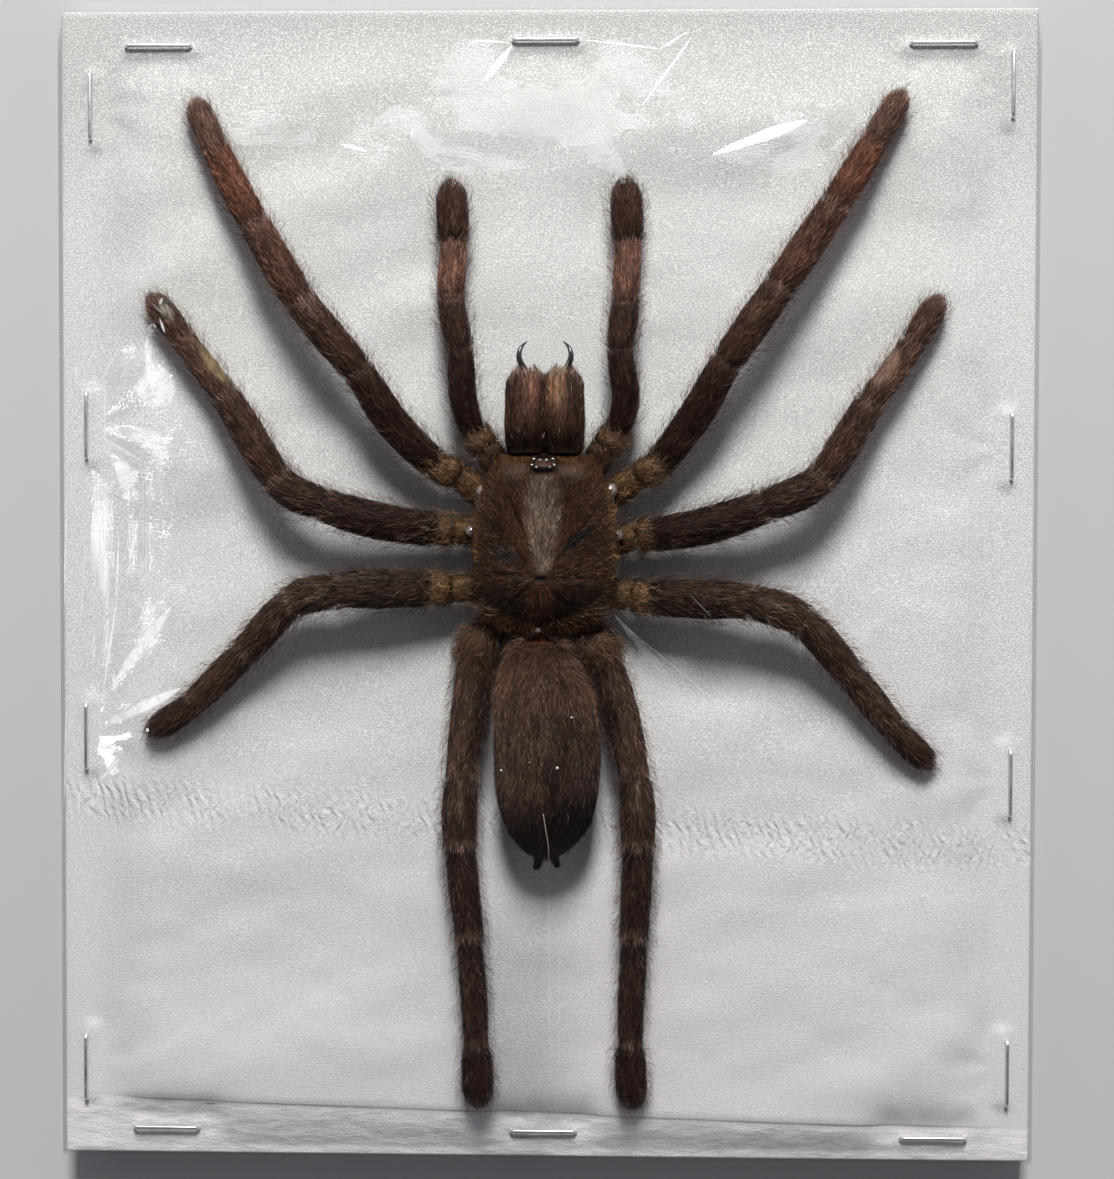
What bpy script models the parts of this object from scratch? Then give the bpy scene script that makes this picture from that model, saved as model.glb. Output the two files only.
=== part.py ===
"""A framed tarantula specimen: a spread, dried spider on a padded card, under clear film held by staples.

The card lies face up. +X runs across it, +Y runs from the spider's tail to its fangs, +Z runs out of its
face, and Z = 0 is its resting face. The tables are in millimetres, and meshes are made in metres.
"""

import math

import bmesh
import bpy
import numpy as np
from mathutils import Vector
from mathutils.bvhtree import BVHTree

MM = 0.001
GAP = 0.3  # clearance between pieces that touch

# The mount: a card, a pad, a paper cover and a film, the last two folded round to the back.
BOARD_WIDTH = 130.0
BOARD_HEIGHT = 153.5
FILM_THICKNESS = 0.15
COVER_THICKNESS = 0.3
CARD_THICKNESS = 4.0
FILM_MARGIN = 14.0  # how far the film is folded in under the back
COVER_MARGIN = 18.0
PAD_RISE = 2.2  # how far the pad lifts the cover above its edge
STAPLE_BAND = 5.5  # flat width all round, where the staples are

# How high the pad stands, as (distance from the edge, share of its rise). It ends sharply at its foot.
PAD_SHOULDER = ((0.0, 0.0), (STAPLE_BAND, 0.0), (9.0, 0.65), (13.0, 1.0))
PAD_FOOT = ((0.0, 0.0), (STAPLE_BAND, 0.0), (7.5, 1.0))
FILM_CELLS = (16, 20)  # across and along, inside the shoulders
FILM_SAMPLES = 4  # sightings of what lies under the film, per cell
FILM_ROUNDS = 400  # rounds of stretching

CARD_BOTTOM = FILM_THICKNESS + COVER_THICKNESS + 2 * GAP
CARD_TOP = CARD_BOTTOM + CARD_THICKNESS
COVER_EDGE = CARD_TOP + GAP + COVER_THICKNESS  # top of the paper cover at the board's edge
FILM_EDGE = COVER_EDGE + GAP + FILM_THICKNESS  # top of the film there
COVER_INSET = FILM_THICKNESS + GAP  # how far the cover lies inside the film at the sides
CARD_INSET = COVER_INSET + COVER_THICKNESS + GAP

# Staples: square wire, as (x, y) of the crown's middle, for crowns that lie along X or along Y.
STAPLE_CROWN = 9.2
STAPLE_LEG = 4.7
STAPLE_WIRE = 0.5
STAPLE_BEND = 0.5
STAPLES_ALONG_X = {
    "staple_top_left": (-51.4, 71.6),
    "staple_top_middle": (-0.1, 72.2),
    "staple_top_right": (52.1, 71.6),
    "staple_bottom_left": (-50.8, -72.7),
    "staple_bottom_middle": (-0.1, -72.7),
    "staple_bottom_right": (51.8, -73.1),
}
STAPLES_ALONG_Y = {
    "staple_left_1": (-60.5, 63.8),
    "staple_left_2": (-61.2, 21.5),
    "staple_left_3": (-61.4, -20.0),
    "staple_left_4": (-61.6, -64.6),
    "staple_right_1": (61.2, 66.3),
    "staple_right_2": (61.4, 18.9),
    "staple_right_3": (61.6, -25.6),
    "staple_right_4": (61.5, -64.3),
}

# Limbs. Each row gives the joints from the body outwards, with one more point in the femur's middle. They were
# sighted from above, and each is then moved down its line of sight, because the limbs lie low on the pad.
SIGHTED_FROM = (10.9, 9.7, 303.5)
LYING_HEIGHT = 10.3  # a limb's middle where it lies on the pad
ARCH_SHARE = 0.52  # what is left of a joint's sighted height above that
LEG_SEGMENTS = ("coxa", "trochanter", "femur", "femur", "patella", "tibia", "metatarsus", "tarsus")
PALP_SEGMENTS = ("coxa", "trochanter", "femur", "femur", "patella", "tibia", "tarsus")
LIMB_JOINTS = {
    "leg_1_left": ((-7.2, 11.6, 12.3), (-10.9, 14.7, 13.1), (-13.9, 16.1, 13.8), (-19.2, 21.4, 15.9),
                   (-23.5, 27.9, 17.9), (-30.7, 36.7, 17.7), (-37.2, 46.9, 13.9), (-42.8, 57.0, 11.0),
                   (-45.9, 63.6, 9.4)),
    "leg_1_right": ((7.6, 11.6, 12.3), (12.1, 14.5, 13.1), (15.0, 16.5, 13.8), (20.0, 23.2, 16.0),
                    (23.3, 29.0, 17.9), (29.9, 38.5, 17.5), (37.1, 49.2, 13.7), (42.4, 57.7, 11.0),
                    (46.3, 64.4, 9.4)),
    "leg_2_left": ((-6.6, 7.7, 12.3), (-11.5, 7.6, 13.1), (-13.9, 7.7, 13.6), (-20.7, 8.8, 16.0),
                   (-27.8, 10.9, 17.7), (-33.8, 14.1, 16.9), (-41.3, 24.9, 12.5), (-47.3, 32.6, 10.5),
                   (-51.7, 38.1, 9.4)),
    "leg_2_right": ((7.0, 6.0, 12.3), (12.0, 6.9, 13.1), (14.1, 7.1, 13.6), (21.1, 8.4, 16.0),
                    (28.1, 10.8, 17.7), (35.4, 14.4, 16.7), (41.9, 23.9, 12.5), (47.7, 32.0, 10.5),
                    (51.3, 37.8, 9.4)),
    "leg_3_left": ((-6.6, 0.5, 12.3), (-11.9, 0.1, 13.1), (-14.7, 0.1, 13.6), (-21.0, 0.1, 15.5),
                   (-26.4, -0.1, 16.7), (-32.2, -1.7, 16.1), (-39.1, -8.3, 12.3), (-46.1, -15.0, 10.3),
                   (-52.1, -19.1, 9.4)),
    "leg_3_right": ((6.8, -0.1, 12.3), (11.4, -0.8, 13.1), (13.9, -1.0, 13.6), (20.2, -1.1, 15.5),
                    (26.5, -1.4, 16.7), (33.1, -3.7, 16.1), (39.7, -10.7, 12.3), (45.6, -17.9, 10.3),
                    (50.6, -22.8, 9.4)),
    "leg_4_left": ((-5.2, -3.1, 11.8), (-7.4, -5.6, 12.1), (-9.0, -8.8, 12.5), (-9.7, -15.5, 14.0),
                   (-10.5, -24.4, 15.1), (-10.7, -33.2, 14.1), (-9.6, -45.8, 11.9), (-8.8, -60.3, 10.3),
                   (-8.6, -68.2, 9.4)),
    "leg_4_right": ((5.0, -3.4, 11.8), (6.4, -5.8, 12.1), (8.2, -9.0, 12.5), (10.2, -15.8, 14.0),
                    (11.9, -24.2, 15.1), (12.4, -33.1, 14.1), (11.9, -45.6, 11.9), (11.5, -60.1, 10.3),
                    (11.8, -68.2, 9.4)),
    "palp_left": ((-5.3, 14.9, 12.5), (-7.3, 18.5, 13.3), (-8.8, 20.1, 13.9), (-10.2, 24.6, 15.5),
                  (-10.6, 30.8, 16.1), (-11.9, 37.3, 14.3), (-11.8, 45.0, 11.7), (-12.2, 52.8, 10.4)),
    "palp_right": ((5.9, 14.9, 12.5), (7.9, 18.5, 13.3), (9.4, 20.1, 13.9), (10.6, 24.6, 15.5),
                   (9.9, 30.8, 16.1), (10.5, 37.0, 14.3), (10.8, 45.0, 11.7), (10.5, 53.0, 10.4)),
}
# Width of each segment across its coat of hair.
LIMB_WIDTHS = {
    "leg_1": {"coxa": 3.4, "trochanter": 3.8, "femur": 4.4, "patella": 4.4, "tibia": 4.4,
              "metatarsus": 4.0, "tarsus": 3.6},
    "leg_2": {"coxa": 3.4, "trochanter": 3.8, "femur": 4.8, "patella": 4.5, "tibia": 4.3,
              "metatarsus": 3.7, "tarsus": 3.5},
    "leg_3": {"coxa": 3.4, "trochanter": 4.0, "femur": 5.0, "patella": 4.7, "tibia": 4.3,
              "metatarsus": 3.9, "tarsus": 3.6},
    "leg_4": {"coxa": 3.2, "trochanter": 3.8, "femur": 4.3, "patella": 4.6, "tibia": 4.0,
              "metatarsus": 3.5, "tarsus": 4.1},
    "palp": {"coxa": 2.9, "trochanter": 3.3, "femur": 3.8, "patella": 3.9, "tibia": 3.8, "tarsus": 4.4},
}
LIMB_SIDES = 8
JOINT_SHARE = 0.84  # a limb's width at a joint, as a share of the thinner segment
LIMB_FLATNESS = 0.92  # a limb's height as a share of its width

# The front body: its outline seen from above, half of it from the fangs' end round to the waist.
CARAPACE_LEFT = ((-5.7, 17.5), (-6.8, 15.7), (-8.3, 11.8), (-8.7, 9.0), (-8.9, 5.2), (-8.7, 2.3),
                 (-8.1, -0.3), (-6.8, -2.3), (-4.5, -3.8))
CARAPACE_REAR = (-0.4, -4.7)
CARAPACE_RIGHT = ((4.4, -3.6), (7.0, -2.2), (8.6, -0.2), (9.2, 2.3), (9.4, 6.3), (9.2, 9.6), (8.5, 12.8),
                  (7.5, 15.6), (6.3, 17.5))
CARAPACE_BRIM = (14.7, 15.4)  # lower and upper edge of the brim
CARAPACE_CROWN = 3.5  # how far the dome rises above the brim
CARAPACE_SHARES = (1.0, 0.92, 0.8, 0.6, 0.4, 0.2)  # rings of the dome, from the brim to the fovea
CARAPACE_FALL = 2.4  # exponent of the dome's fall to the brim
CARAPACE_FRONT = 7.0  # what the high, steep-fronted head adds to it
FOVEA = (-0.3, 1.8)
FOVEA_DEPTH = 0.8
GROOVE_DEPTH = 0.2
GROOVES = 8
EYES = (0.15, 16.3, 17.2)
EYES_RADII = (1.6, 0.95, 0.9)
# The underside between the legs' roots: its right half, from the mouth round to the waist.
STERNUM_HALF = ((3.2, 17.2), (3.4, 14.4), (5.2, 12.0), (6.0, 8.0), (6.0, 3.0), (5.0, -0.5), (2.8, -2.7))
STERNUM_BOTTOM = 8.3
STERNUM_BEVEL = 1.2

# The rear body as (y, middle x, half width, middle z, half height), from the waist to the tail.
ABDOMEN_SECTIONS = (
    (-5.4, -0.4, 1.1, 12.6, 1.1), (-6.6, -0.4, 1.3, 12.8, 1.3), (-7.4, -0.4, 3.4, 13.4, 3.2),
    (-9.6, -0.3, 5.0, 13.9, 4.7), (-12.0, 0.0, 6.0, 14.2, 5.5), (-15.5, 0.3, 6.7, 14.4, 5.9),
    (-20.0, 0.6, 7.0, 14.4, 6.0), (-24.5, 0.6, 6.8, 14.2, 5.8), (-28.0, 0.6, 6.3, 13.8, 5.3),
    (-31.0, 0.6, 5.3, 13.2, 4.5), (-33.4, 0.4, 3.4, 12.7, 3.0), (-34.6, 0.3, 1.6, 12.5, 1.5),
)
ABDOMEN_SIDES = 16
# Spinnerets as (root, tip, radius at the root).
SPINNERETS = (((-0.2, -33.6, 12.3), (-0.9, -36.6, 11.6), 0.6), ((1.0, -33.6, 12.3), (1.9, -36.3, 11.6), 0.6))

# Jaws as (y, half width, middle z, half height): each stands beside the middle line.
JAW_SECTIONS = ((17.9, 2.3, 13.2, 4.0), (21.0, 2.45, 13.2, 4.3), (24.6, 2.4, 12.9, 4.1),
                (26.8, 2.25, 12.6, 3.6), (28.1, 1.65, 12.3, 2.4))
JAW_MIDDLE = 0.15
JAW_PITCH = 2.6  # from the middle line to a jaw's middle
JAW_SIDES = 12
JAW_SQUARENESS = 2.8  # superellipse exponent of a jaw's section
# Fangs as a curve from the jaw to the tip, for the left fang, mirrored in X for the right one.
FANG_ROUTE = ((-2.6, 28.6, 12.0), (-3.2, 30.0, 12.6), (-3.0, 31.3, 12.4), (-2.2, 32.2, 11.9))
FANG_RADII = (0.55, 0.5, 0.38, 0.14)

COLOURS = {
    "card": (0.72, 0.70, 0.66), "wadding": (0.80, 0.80, 0.79), "cover": (0.76, 0.75, 0.73),
    "film": (0.92, 0.94, 0.95), "staple": (0.62, 0.63, 0.64), "cuticle": (0.10, 0.055, 0.035),
    "abdomen": (0.085, 0.065, 0.05), "fang": (0.03, 0.03, 0.035),
}
ROUGHNESS = {"card": 0.8, "wadding": 0.95, "cover": 0.9, "film": 0.08, "staple": 0.3, "cuticle": 0.6,
             "abdomen": 0.85, "fang": 0.25}


def material(slot):
    """The Principled material of a slot, made once."""
    found = bpy.data.materials.get(slot)
    if found:
        return found
    made = bpy.data.materials.new(slot)
    made.use_nodes = True
    shader = made.node_tree.nodes["Principled BSDF"]
    shader.inputs["Base Color"].default_value = (*COLOURS[slot], 1.0)
    shader.inputs["Roughness"].default_value = ROUGHNESS[slot]
    shader.inputs["Metallic"].default_value = 1.0 if slot == "staple" else 0.0
    shader.inputs["Alpha"].default_value = 0.25 if slot == "film" else 1.0
    return made


def add_object(name, points, faces, slot, smooth=True):
    """An object from points in millimetres, its faces turned to point out."""
    mesh = bpy.data.meshes.new(name)
    mesh.from_pydata([Vector(p) * MM for p in points], [], faces)
    shape = bmesh.new()
    shape.from_mesh(mesh)
    bmesh.ops.recalc_face_normals(shape, faces=shape.faces)
    shape.to_mesh(mesh)
    shape.free()
    if smooth:
        mesh.shade_smooth()
        mesh.set_sharp_from_angle(angle=math.radians(35))
    mesh.materials.append(material(slot))
    made = bpy.data.objects.new(name, mesh)
    bpy.context.scene.collection.objects.link(made)
    return made


def loft(name, rings, slot):
    """A closed body through rings of equal count, with flat end caps."""
    count = len(rings[0])
    points = [point for ring in rings for point in ring]
    faces = [tuple(range(count)), tuple(range(len(points) - count, len(points)))]
    for start in range(0, len(points) - count, count):
        for k in range(count):
            after = (k + 1) % count
            faces.append((start + k, start + after, start + count + after, start + count + k))
    return add_object(name, points, faces, slot)


def join(body, tool, operation="UNION"):
    """Applies a Boolean of the tool object to the body, and removes the tool."""
    boolean = body.modifiers.new(operation.title(), "BOOLEAN")
    boolean.operation = operation
    boolean.object = tool
    bpy.context.view_layer.update()
    evaluated = body.evaluated_get(bpy.context.evaluated_depsgraph_get())
    result = bpy.data.meshes.new_from_object(evaluated)
    body.modifiers.clear()
    body.data = result
    bpy.data.objects.remove(tool)


def smooth_curve(points, place):
    """The point at a place such as 2.5 on a Catmull-Rom curve through the points."""
    last = len(points) - 1
    index = min(int(place), last - 1)
    t = place - index
    a, b, c, d = (Vector(points[min(max(k, 0), last)]) for k in range(index - 1, index + 3))
    return 0.5 * (2 * b + (c - a) * t + (2 * a - 5 * b + 4 * c - d) * t * t + (3 * b - a - 3 * c + d) * t**3)


def tube_ring(points, place, half_width, half_height, sides):
    """A ring square to the curve, its width level and its height upright."""
    step = 0.02
    ahead = smooth_curve(points, min(place + step, len(points) - 1))
    heading = (ahead - smooth_curve(points, max(place - step, 0))).normalized()
    across = heading.cross(Vector((0, 0, 1))).normalized()
    up = across.cross(heading)
    middle = smooth_curve(points, place)
    ring = []
    for k in range(sides):
        angle = 2 * math.pi * (k + 0.5) / sides
        ring.append(middle + across * half_width * math.cos(angle) + up * half_height * math.sin(angle))
    return ring


def limb_stations(segments, widths):
    """(place, width) along a limb: full in each segment's middle, narrow at its joints, round at the tip."""
    stations = [(0.0, JOINT_SHARE * widths[segments[0]])]
    for k, segment in enumerate(segments):
        if k and segments[k - 1] == segment:
            stations.append((k, widths[segment]))
        elif k:
            stations.append((k, JOINT_SHARE * min(widths[segment], widths[segments[k - 1]])))
        stations.append((k + 0.5, widths[segment]))
    end = len(segments)
    return stations + [(end - 0.15, 0.85 * widths[segments[-1]]), (end, 0.45 * widths[segments[-1]])]


def settled(joint):
    """A sighted joint moved down its line of sight to where the limb lies."""
    x, y, z = joint
    height = min(z, LYING_HEIGHT + ARCH_SHARE * (z - LYING_HEIGHT))
    share = (SIGHTED_FROM[2] - height) / (SIGHTED_FROM[2] - z)
    return SIGHTED_FROM[0] + share * (x - SIGHTED_FROM[0]), SIGHTED_FROM[1] + share * (y - SIGHTED_FROM[1]), height


def add_limb(name):
    kind = name.rsplit("_", 1)[0]
    joints = [settled(joint) for joint in LIMB_JOINTS[name]]
    segments = PALP_SEGMENTS if kind == "palp" else LEG_SEGMENTS
    rings = []
    for place, width in limb_stations(segments, LIMB_WIDTHS[kind]):
        rings.append(tube_ring(joints, place, width / 2, LIMB_FLATNESS * width / 2, LIMB_SIDES))
    return loft(name, rings, "cuticle")


def carapace_height(share, turn):
    """Height of the dome at a share of the way from the fovea to the brim, in the direction of a turn."""
    fall = CARAPACE_FALL + CARAPACE_FRONT * max(0.0, math.sin(turn)) ** 6
    dome = CARAPACE_BRIM[1] + CARAPACE_CROWN * (1 - share**fall)
    groove = GROOVE_DEPTH * math.sin(math.pi * share) * (0.5 + 0.5 * math.cos(GROOVES * turn))
    return dome - groove - FOVEA_DEPTH * max(0.0, 1 - 4 * share)


def add_cephalothorax():
    """The front body: a grooved dome with a brim that overhangs the legs' roots, over a narrower underside."""
    outline = [Vector((x, y, 0)) for x, y in (*CARAPACE_LEFT, CARAPACE_REAR, *CARAPACE_RIGHT)]
    half = [Vector((x, y, 0)) for x, y in STERNUM_HALF]
    under = [Vector((-p.x, p.y, 0)) for p in half] + list(reversed(half))
    count = 2 * len(outline)
    edge = [smooth_curve(outline, k * (len(outline) - 1) / (count - 1)) for k in range(count)]
    root = [smooth_curve(under, k * (len(under) - 1) / (count - 1)) for k in range(count)]
    fovea = Vector((*FOVEA, 0))
    middle = Vector((0.0, 6.5, 0))
    rings = []
    for z, inset in ((STERNUM_BOTTOM, STERNUM_BEVEL), (STERNUM_BOTTOM + STERNUM_BEVEL, 0.0),
                     (CARAPACE_BRIM[0], 0.0)):
        rings.append([p + (middle - p).normalized() * inset + Vector((0, 0, z)) for p in root])
    rings.append([p + Vector((0, 0, CARAPACE_BRIM[0])) for p in edge])
    for share in CARAPACE_SHARES:
        ring = []
        for p in edge:
            place = fovea.lerp(p, share)
            turn = math.atan2(p.y - fovea.y, p.x - fovea.x)
            ring.append(place + Vector((0, 0, carapace_height(share, turn))))
        rings.append(ring)
    rings.append([fovea.lerp(p, 0.03) + Vector((0, 0, carapace_height(0.0, 0.0))) for p in edge])
    body = loft("cephalothorax", rings, "cuticle")
    bpy.ops.mesh.primitive_uv_sphere_add(segments=10, ring_count=6, radius=MM)
    eyes = bpy.context.object
    eyes.scale = EYES_RADII
    eyes.location = Vector(EYES) * MM
    join(body, eyes)


def add_abdomen():
    """The rear body with its waist, and the spinnerets fused to its tail."""
    rings = []
    for y, x, half_width, z, half_height in ABDOMEN_SECTIONS:
        ring = []
        for k in range(ABDOMEN_SIDES):
            angle = 2 * math.pi * k / ABDOMEN_SIDES
            ring.append((x + half_width * math.cos(angle), y, z + half_height * math.sin(angle)))
        rings.append(ring)
    body = loft("abdomen", rings, "abdomen")
    for root, tip, radius in SPINNERETS:
        route = (root, Vector(root).lerp(Vector(tip), 0.5), tip)
        sizes = (radius, 0.85 * radius, 0.4 * radius)
        rings = [tube_ring(route, k, size, size, 8) for k, size in enumerate(sizes)]
        join(body, loft("spinneret", rings, "abdomen"))


def add_jaw(name, side):
    """One chelicera: a block with rounded corners beside the middle line, side -1 or 1."""
    rings = []
    for y, half_width, z, half_height in JAW_SECTIONS:
        ring = []
        for k in range(JAW_SIDES):
            angle = 2 * math.pi * (k + 0.5) / JAW_SIDES
            c, s = math.cos(angle), math.sin(angle)
            reach = (abs(c) ** JAW_SQUARENESS + abs(s) ** JAW_SQUARENESS) ** (-1 / JAW_SQUARENESS)
            x = JAW_MIDDLE + side * JAW_PITCH
            ring.append((x + half_width * c * reach, y, z + half_height * s * reach))
        rings.append(ring)
    loft(name, rings, "cuticle")


def add_fang(name, side):
    route = [(-side * (x - JAW_MIDDLE) + JAW_MIDDLE, y, z) for x, y, z in FANG_ROUTE]
    rings = []
    for k in range(2 * len(route) - 1):
        place = k / 2
        radius = smooth_curve([(r, 0, 0) for r in FANG_RADII], place).x
        rings.append(tube_ring(route, place, radius, radius, 8))
    loft(name, rings, "fang")


def grid_lines(length, low_steps, high_steps, cells):
    """Positions across a length: the steps in from each end, and equal cells between them."""
    low = [-length / 2 + distance for distance, _ in low_steps]
    high = [length / 2 - distance for distance, _ in reversed(high_steps)]
    inner = np.linspace(low[-1], high[0], cells + 1)[1:-1]
    return np.array([*low, *inner, *high])


def pad_shares(lines, length, low_steps, high_steps):
    """The pad's share of its rise at each grid line, from the shoulders at both ends."""
    low = np.interp(lines + length / 2, *zip(*low_steps))
    high = np.interp(length / 2 - lines, *zip(*high_steps))
    return np.minimum(low, high)


def pad_grid(cells):
    """Grid lines along X and Y that follow the pad's shoulders, and the pad's height at each crossing."""
    xs = grid_lines(BOARD_WIDTH, PAD_SHOULDER, PAD_SHOULDER, cells[0])
    ys = grid_lines(BOARD_HEIGHT, PAD_FOOT, PAD_SHOULDER, cells[1])
    across = pad_shares(xs, BOARD_WIDTH, PAD_SHOULDER, PAD_SHOULDER)
    along = pad_shares(ys, BOARD_HEIGHT, PAD_FOOT, PAD_SHOULDER)
    return xs, ys, PAD_RISE * np.minimum(along[:, None], across[None, :])


def grid_surface(xs, ys, heights, points, faces):
    """Adds a surface of triangles and returns the point numbers by row and column."""
    start = len(points)
    rows, columns = heights.shape
    for j in range(rows):
        for i in range(columns):
            points.append((xs[i], ys[j], heights[j, i]))
    numbers = start + np.arange(rows * columns).reshape(rows, columns)
    for j in range(rows - 1):
        for i in range(columns - 1):
            a, b, c, d = (int(numbers[j + dj, i + di]) for dj, di in ((0, 0), (0, 1), (1, 1), (1, 0)))
            # The diagonals all run outwards at the corners, so that layers with the same lines stay apart.
            if (i < columns / 2) == (j < rows / 2):
                faces.extend(((a, b, c), (a, c, d)))
            else:
                faces.extend(((a, b, d), (b, c, d)))
    return numbers


def add_wrapped_sheet(name, inset, thickness, bottom, margin, xs, ys, top, slot):
    """A sheet over the board's face and sides, folded in under its back by a margin."""
    points, faces, skins = [], [], []
    for depth in (0.0, thickness):
        half = BOARD_WIDTH / 2 - inset - depth, BOARD_HEIGHT / 2 - inset - depth
        near_x, near_y = np.clip(xs, -half[0], half[0]), np.clip(ys, -half[1], half[1])
        numbers = grid_surface(near_x, near_y, top - depth, points, faces)
        edges = (numbers[0], numbers[:, -1], numbers[-1][::-1], numbers[:, 0][::-1])
        rims = []
        for reach in (0.0, margin - depth):
            start = len(points)
            for sx, sy in ((-1, -1), (1, -1), (1, 1), (-1, 1)):
                points.append((sx * (half[0] - reach), sy * (half[1] - reach), bottom + depth))
            rims.append([start + k for k in range(4)])
        for k, edge in enumerate(edges):
            after = (k + 1) % 4
            faces.append((*[int(n) for n in edge], rims[0][after], rims[0][k]))
            faces.append((rims[0][k], rims[0][after], rims[1][after], rims[1][k]))
        skins.append(rims[1])
    for k in range(4):
        after = (k + 1) % 4
        faces.append((skins[0][k], skins[0][after], skins[1][after], skins[1][k]))
    return add_object(name, points, faces, slot, smooth=False)


def add_card():
    bpy.ops.mesh.primitive_cube_add(size=1)
    card = bpy.context.object
    card.name = "backing_card"
    size = BOARD_WIDTH - 2 * CARD_INSET, BOARD_HEIGHT - 2 * CARD_INSET, CARD_THICKNESS
    for vertex in card.data.vertices:
        vertex.co = Vector([c * s * MM for c, s in zip(vertex.co, size)])
    card.location.z = (CARD_BOTTOM + CARD_THICKNESS / 2) * MM
    card.data.materials.append(material("card"))
    return card


def add_wadding():
    """The pad between the card and the cover, inside the line of staples."""
    xs, ys, rise = pad_grid((1, 1))
    top = CARD_TOP + rise[2:-2, 2:-2]
    points, faces = [], []
    upper = grid_surface(xs[2:-2], ys[2:-2], top, points, faces)
    lower = grid_surface(xs[2:-2], ys[2:-2], np.full_like(top, CARD_TOP + GAP), points, faces)
    for line in ((0, slice(None)), (-1, slice(None)), (slice(None), 0), (slice(None), -1)):
        above, below = [int(n) for n in upper[line]], [int(n) for n in lower[line]]
        for k in range(len(above) - 1):
            faces.append((above[k], above[k + 1], below[k + 1], below[k]))
    add_object("wadding", points, faces, "wadding", smooth=False)


def add_cover():
    xs, ys, rise = pad_grid((2, 2))
    return add_wrapped_sheet("tissue_cover", COVER_INSET, COVER_THICKNESS, COVER_INSET, COVER_MARGIN,
                             xs, ys, COVER_EDGE + rise, "cover")


def highest_below(trees, x, y):
    """The height in millimetres of the topmost surface at a place."""
    heights = [0.0]
    for tree in trees:
        hit = tree.ray_cast(Vector((x, y, 100.0)) * MM, Vector((0, 0, -1)))[0]
        if hit:
            heights.append(hit.z / MM)
    return max(heights)


def tent_heights(xs, ys, floor, pieces):
    """The film as a taut sheet over the specimen: fixed on the band of staples, and held up by what it covers."""
    trees = [BVHTree.FromObject(piece, bpy.context.evaluated_depsgraph_get()) for piece in pieces]
    fine = FILM_SAMPLES
    fine_x = np.interp(np.arange(fine * (len(xs) - 1) + 1) / fine, np.arange(len(xs)), xs)
    fine_y = np.interp(np.arange(fine * (len(ys) - 1) + 1) / fine, np.arange(len(ys)), ys)
    specimen = np.array([[highest_below(trees, x, y) for x in fine_x] for y in fine_y])
    held = floor.copy()
    for j in range(2, len(ys) - 2):
        for i in range(2, len(xs) - 2):
            rows = slice(fine * (j - 1), fine * (j + 1) + 1)
            columns = slice(fine * (i - 1), fine * (i + 1) + 1)
            support = specimen[rows, columns].max() + GAP + 2 * FILM_THICKNESS
            held[j, i] = max(held[j, i], support)
    sheet = held.copy()
    for _ in range(FILM_ROUNDS):
        middle = (sheet[:-2, 1:-1] + sheet[2:, 1:-1] + sheet[1:-1, :-2] + sheet[1:-1, 2:]) / 4
        sheet[1:-1, 1:-1] = np.maximum(held[1:-1, 1:-1], middle)
        sheet[:2], sheet[-2:], sheet[:, :2], sheet[:, -2:] = floor[:2], floor[-2:], floor[:, :2], floor[:, -2:]
    return sheet


def add_film(pieces):
    xs, ys, rise = pad_grid(FILM_CELLS)
    top = tent_heights(xs, ys, FILM_EDGE + rise, pieces)
    return add_wrapped_sheet("clear_film", 0.0, FILM_THICKNESS, 0.0, FILM_MARGIN, xs, ys, top, "film")


def staple_mesh():
    """One staple: square wire with a straight crown and two legs bent down, standing on the crown's underside."""
    half, r, wire = STAPLE_CROWN / 2, STAPLE_BEND, STAPLE_WIRE / 2
    route = [(-half + wire, -STAPLE_LEG), (-half + wire, -r)]
    route += [(-half + wire + r * (1 - math.cos(math.pi / 4)), wire - (r + wire) * (1 - math.sin(math.pi / 4)))]
    route += [(-half + wire + r, wire)]
    route += [(-x, z) for x, z in reversed(route)]
    rings = []
    for k, (x, z) in enumerate(route):
        before, after = Vector(route[max(k - 1, 0)]), Vector(route[min(k + 1, len(route) - 1)])
        if 0 < k < len(route) - 1:
            into, out = (Vector((x, z)) - before).normalized(), (after - Vector((x, z))).normalized()
            mitre = (into + out).normalized()
            stretch = wire / mitre.dot(into)
        else:
            mitre = (after - before).normalized()
            stretch = wire
        side = Vector((-mitre.y, mitre.x)) * stretch
        corners = ((-1, -1), (1, -1), (1, 1), (-1, 1))
        rings.append([(x + sx * side.x, sy * wire, z + sx * side.y) for sx, sy in corners])
    return rings


def add_staples(layers):
    """Every staple through the layers, which get a square hole with clearance round each leg."""
    crown_z = FILM_EDGE + GAP
    rings = staple_mesh()
    leg_x = STAPLE_CROWN / 2 - STAPLE_WIRE / 2
    hole = STAPLE_WIRE + 2 * GAP
    cutter_points, cutter_faces = [], []
    for places, turned in ((STAPLES_ALONG_X, False), (STAPLES_ALONG_Y, True)):
        for name, (x, y) in places.items():
            staple = loft(name, rings, "staple")
            staple.location = Vector((x, y, crown_z)) * MM
            staple.rotation_euler.z = math.pi / 2 if turned else 0.0
            for side in (-1, 1):
                at = (x, y + side * leg_x) if turned else (x + side * leg_x, y)
                start = len(cutter_points)
                for z in (crown_z - STAPLE_LEG - GAP, crown_z + GAP):
                    for sx, sy in ((-1, -1), (1, -1), (1, 1), (-1, 1)):
                        cutter_points.append((at[0] + sx * hole / 2, at[1] + sy * hole / 2, z))
                for quad in ((3, 2, 1, 0), (4, 5, 6, 7), (0, 1, 5, 4), (1, 2, 6, 5), (2, 3, 7, 6), (3, 0, 4, 7)):
                    cutter_faces.append(tuple(start + n for n in quad))
    for layer in layers:
        cutter = add_object("staple_holes", cutter_points, cutter_faces, "staple", smooth=False)
        join(layer, cutter, "DIFFERENCE")


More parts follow.
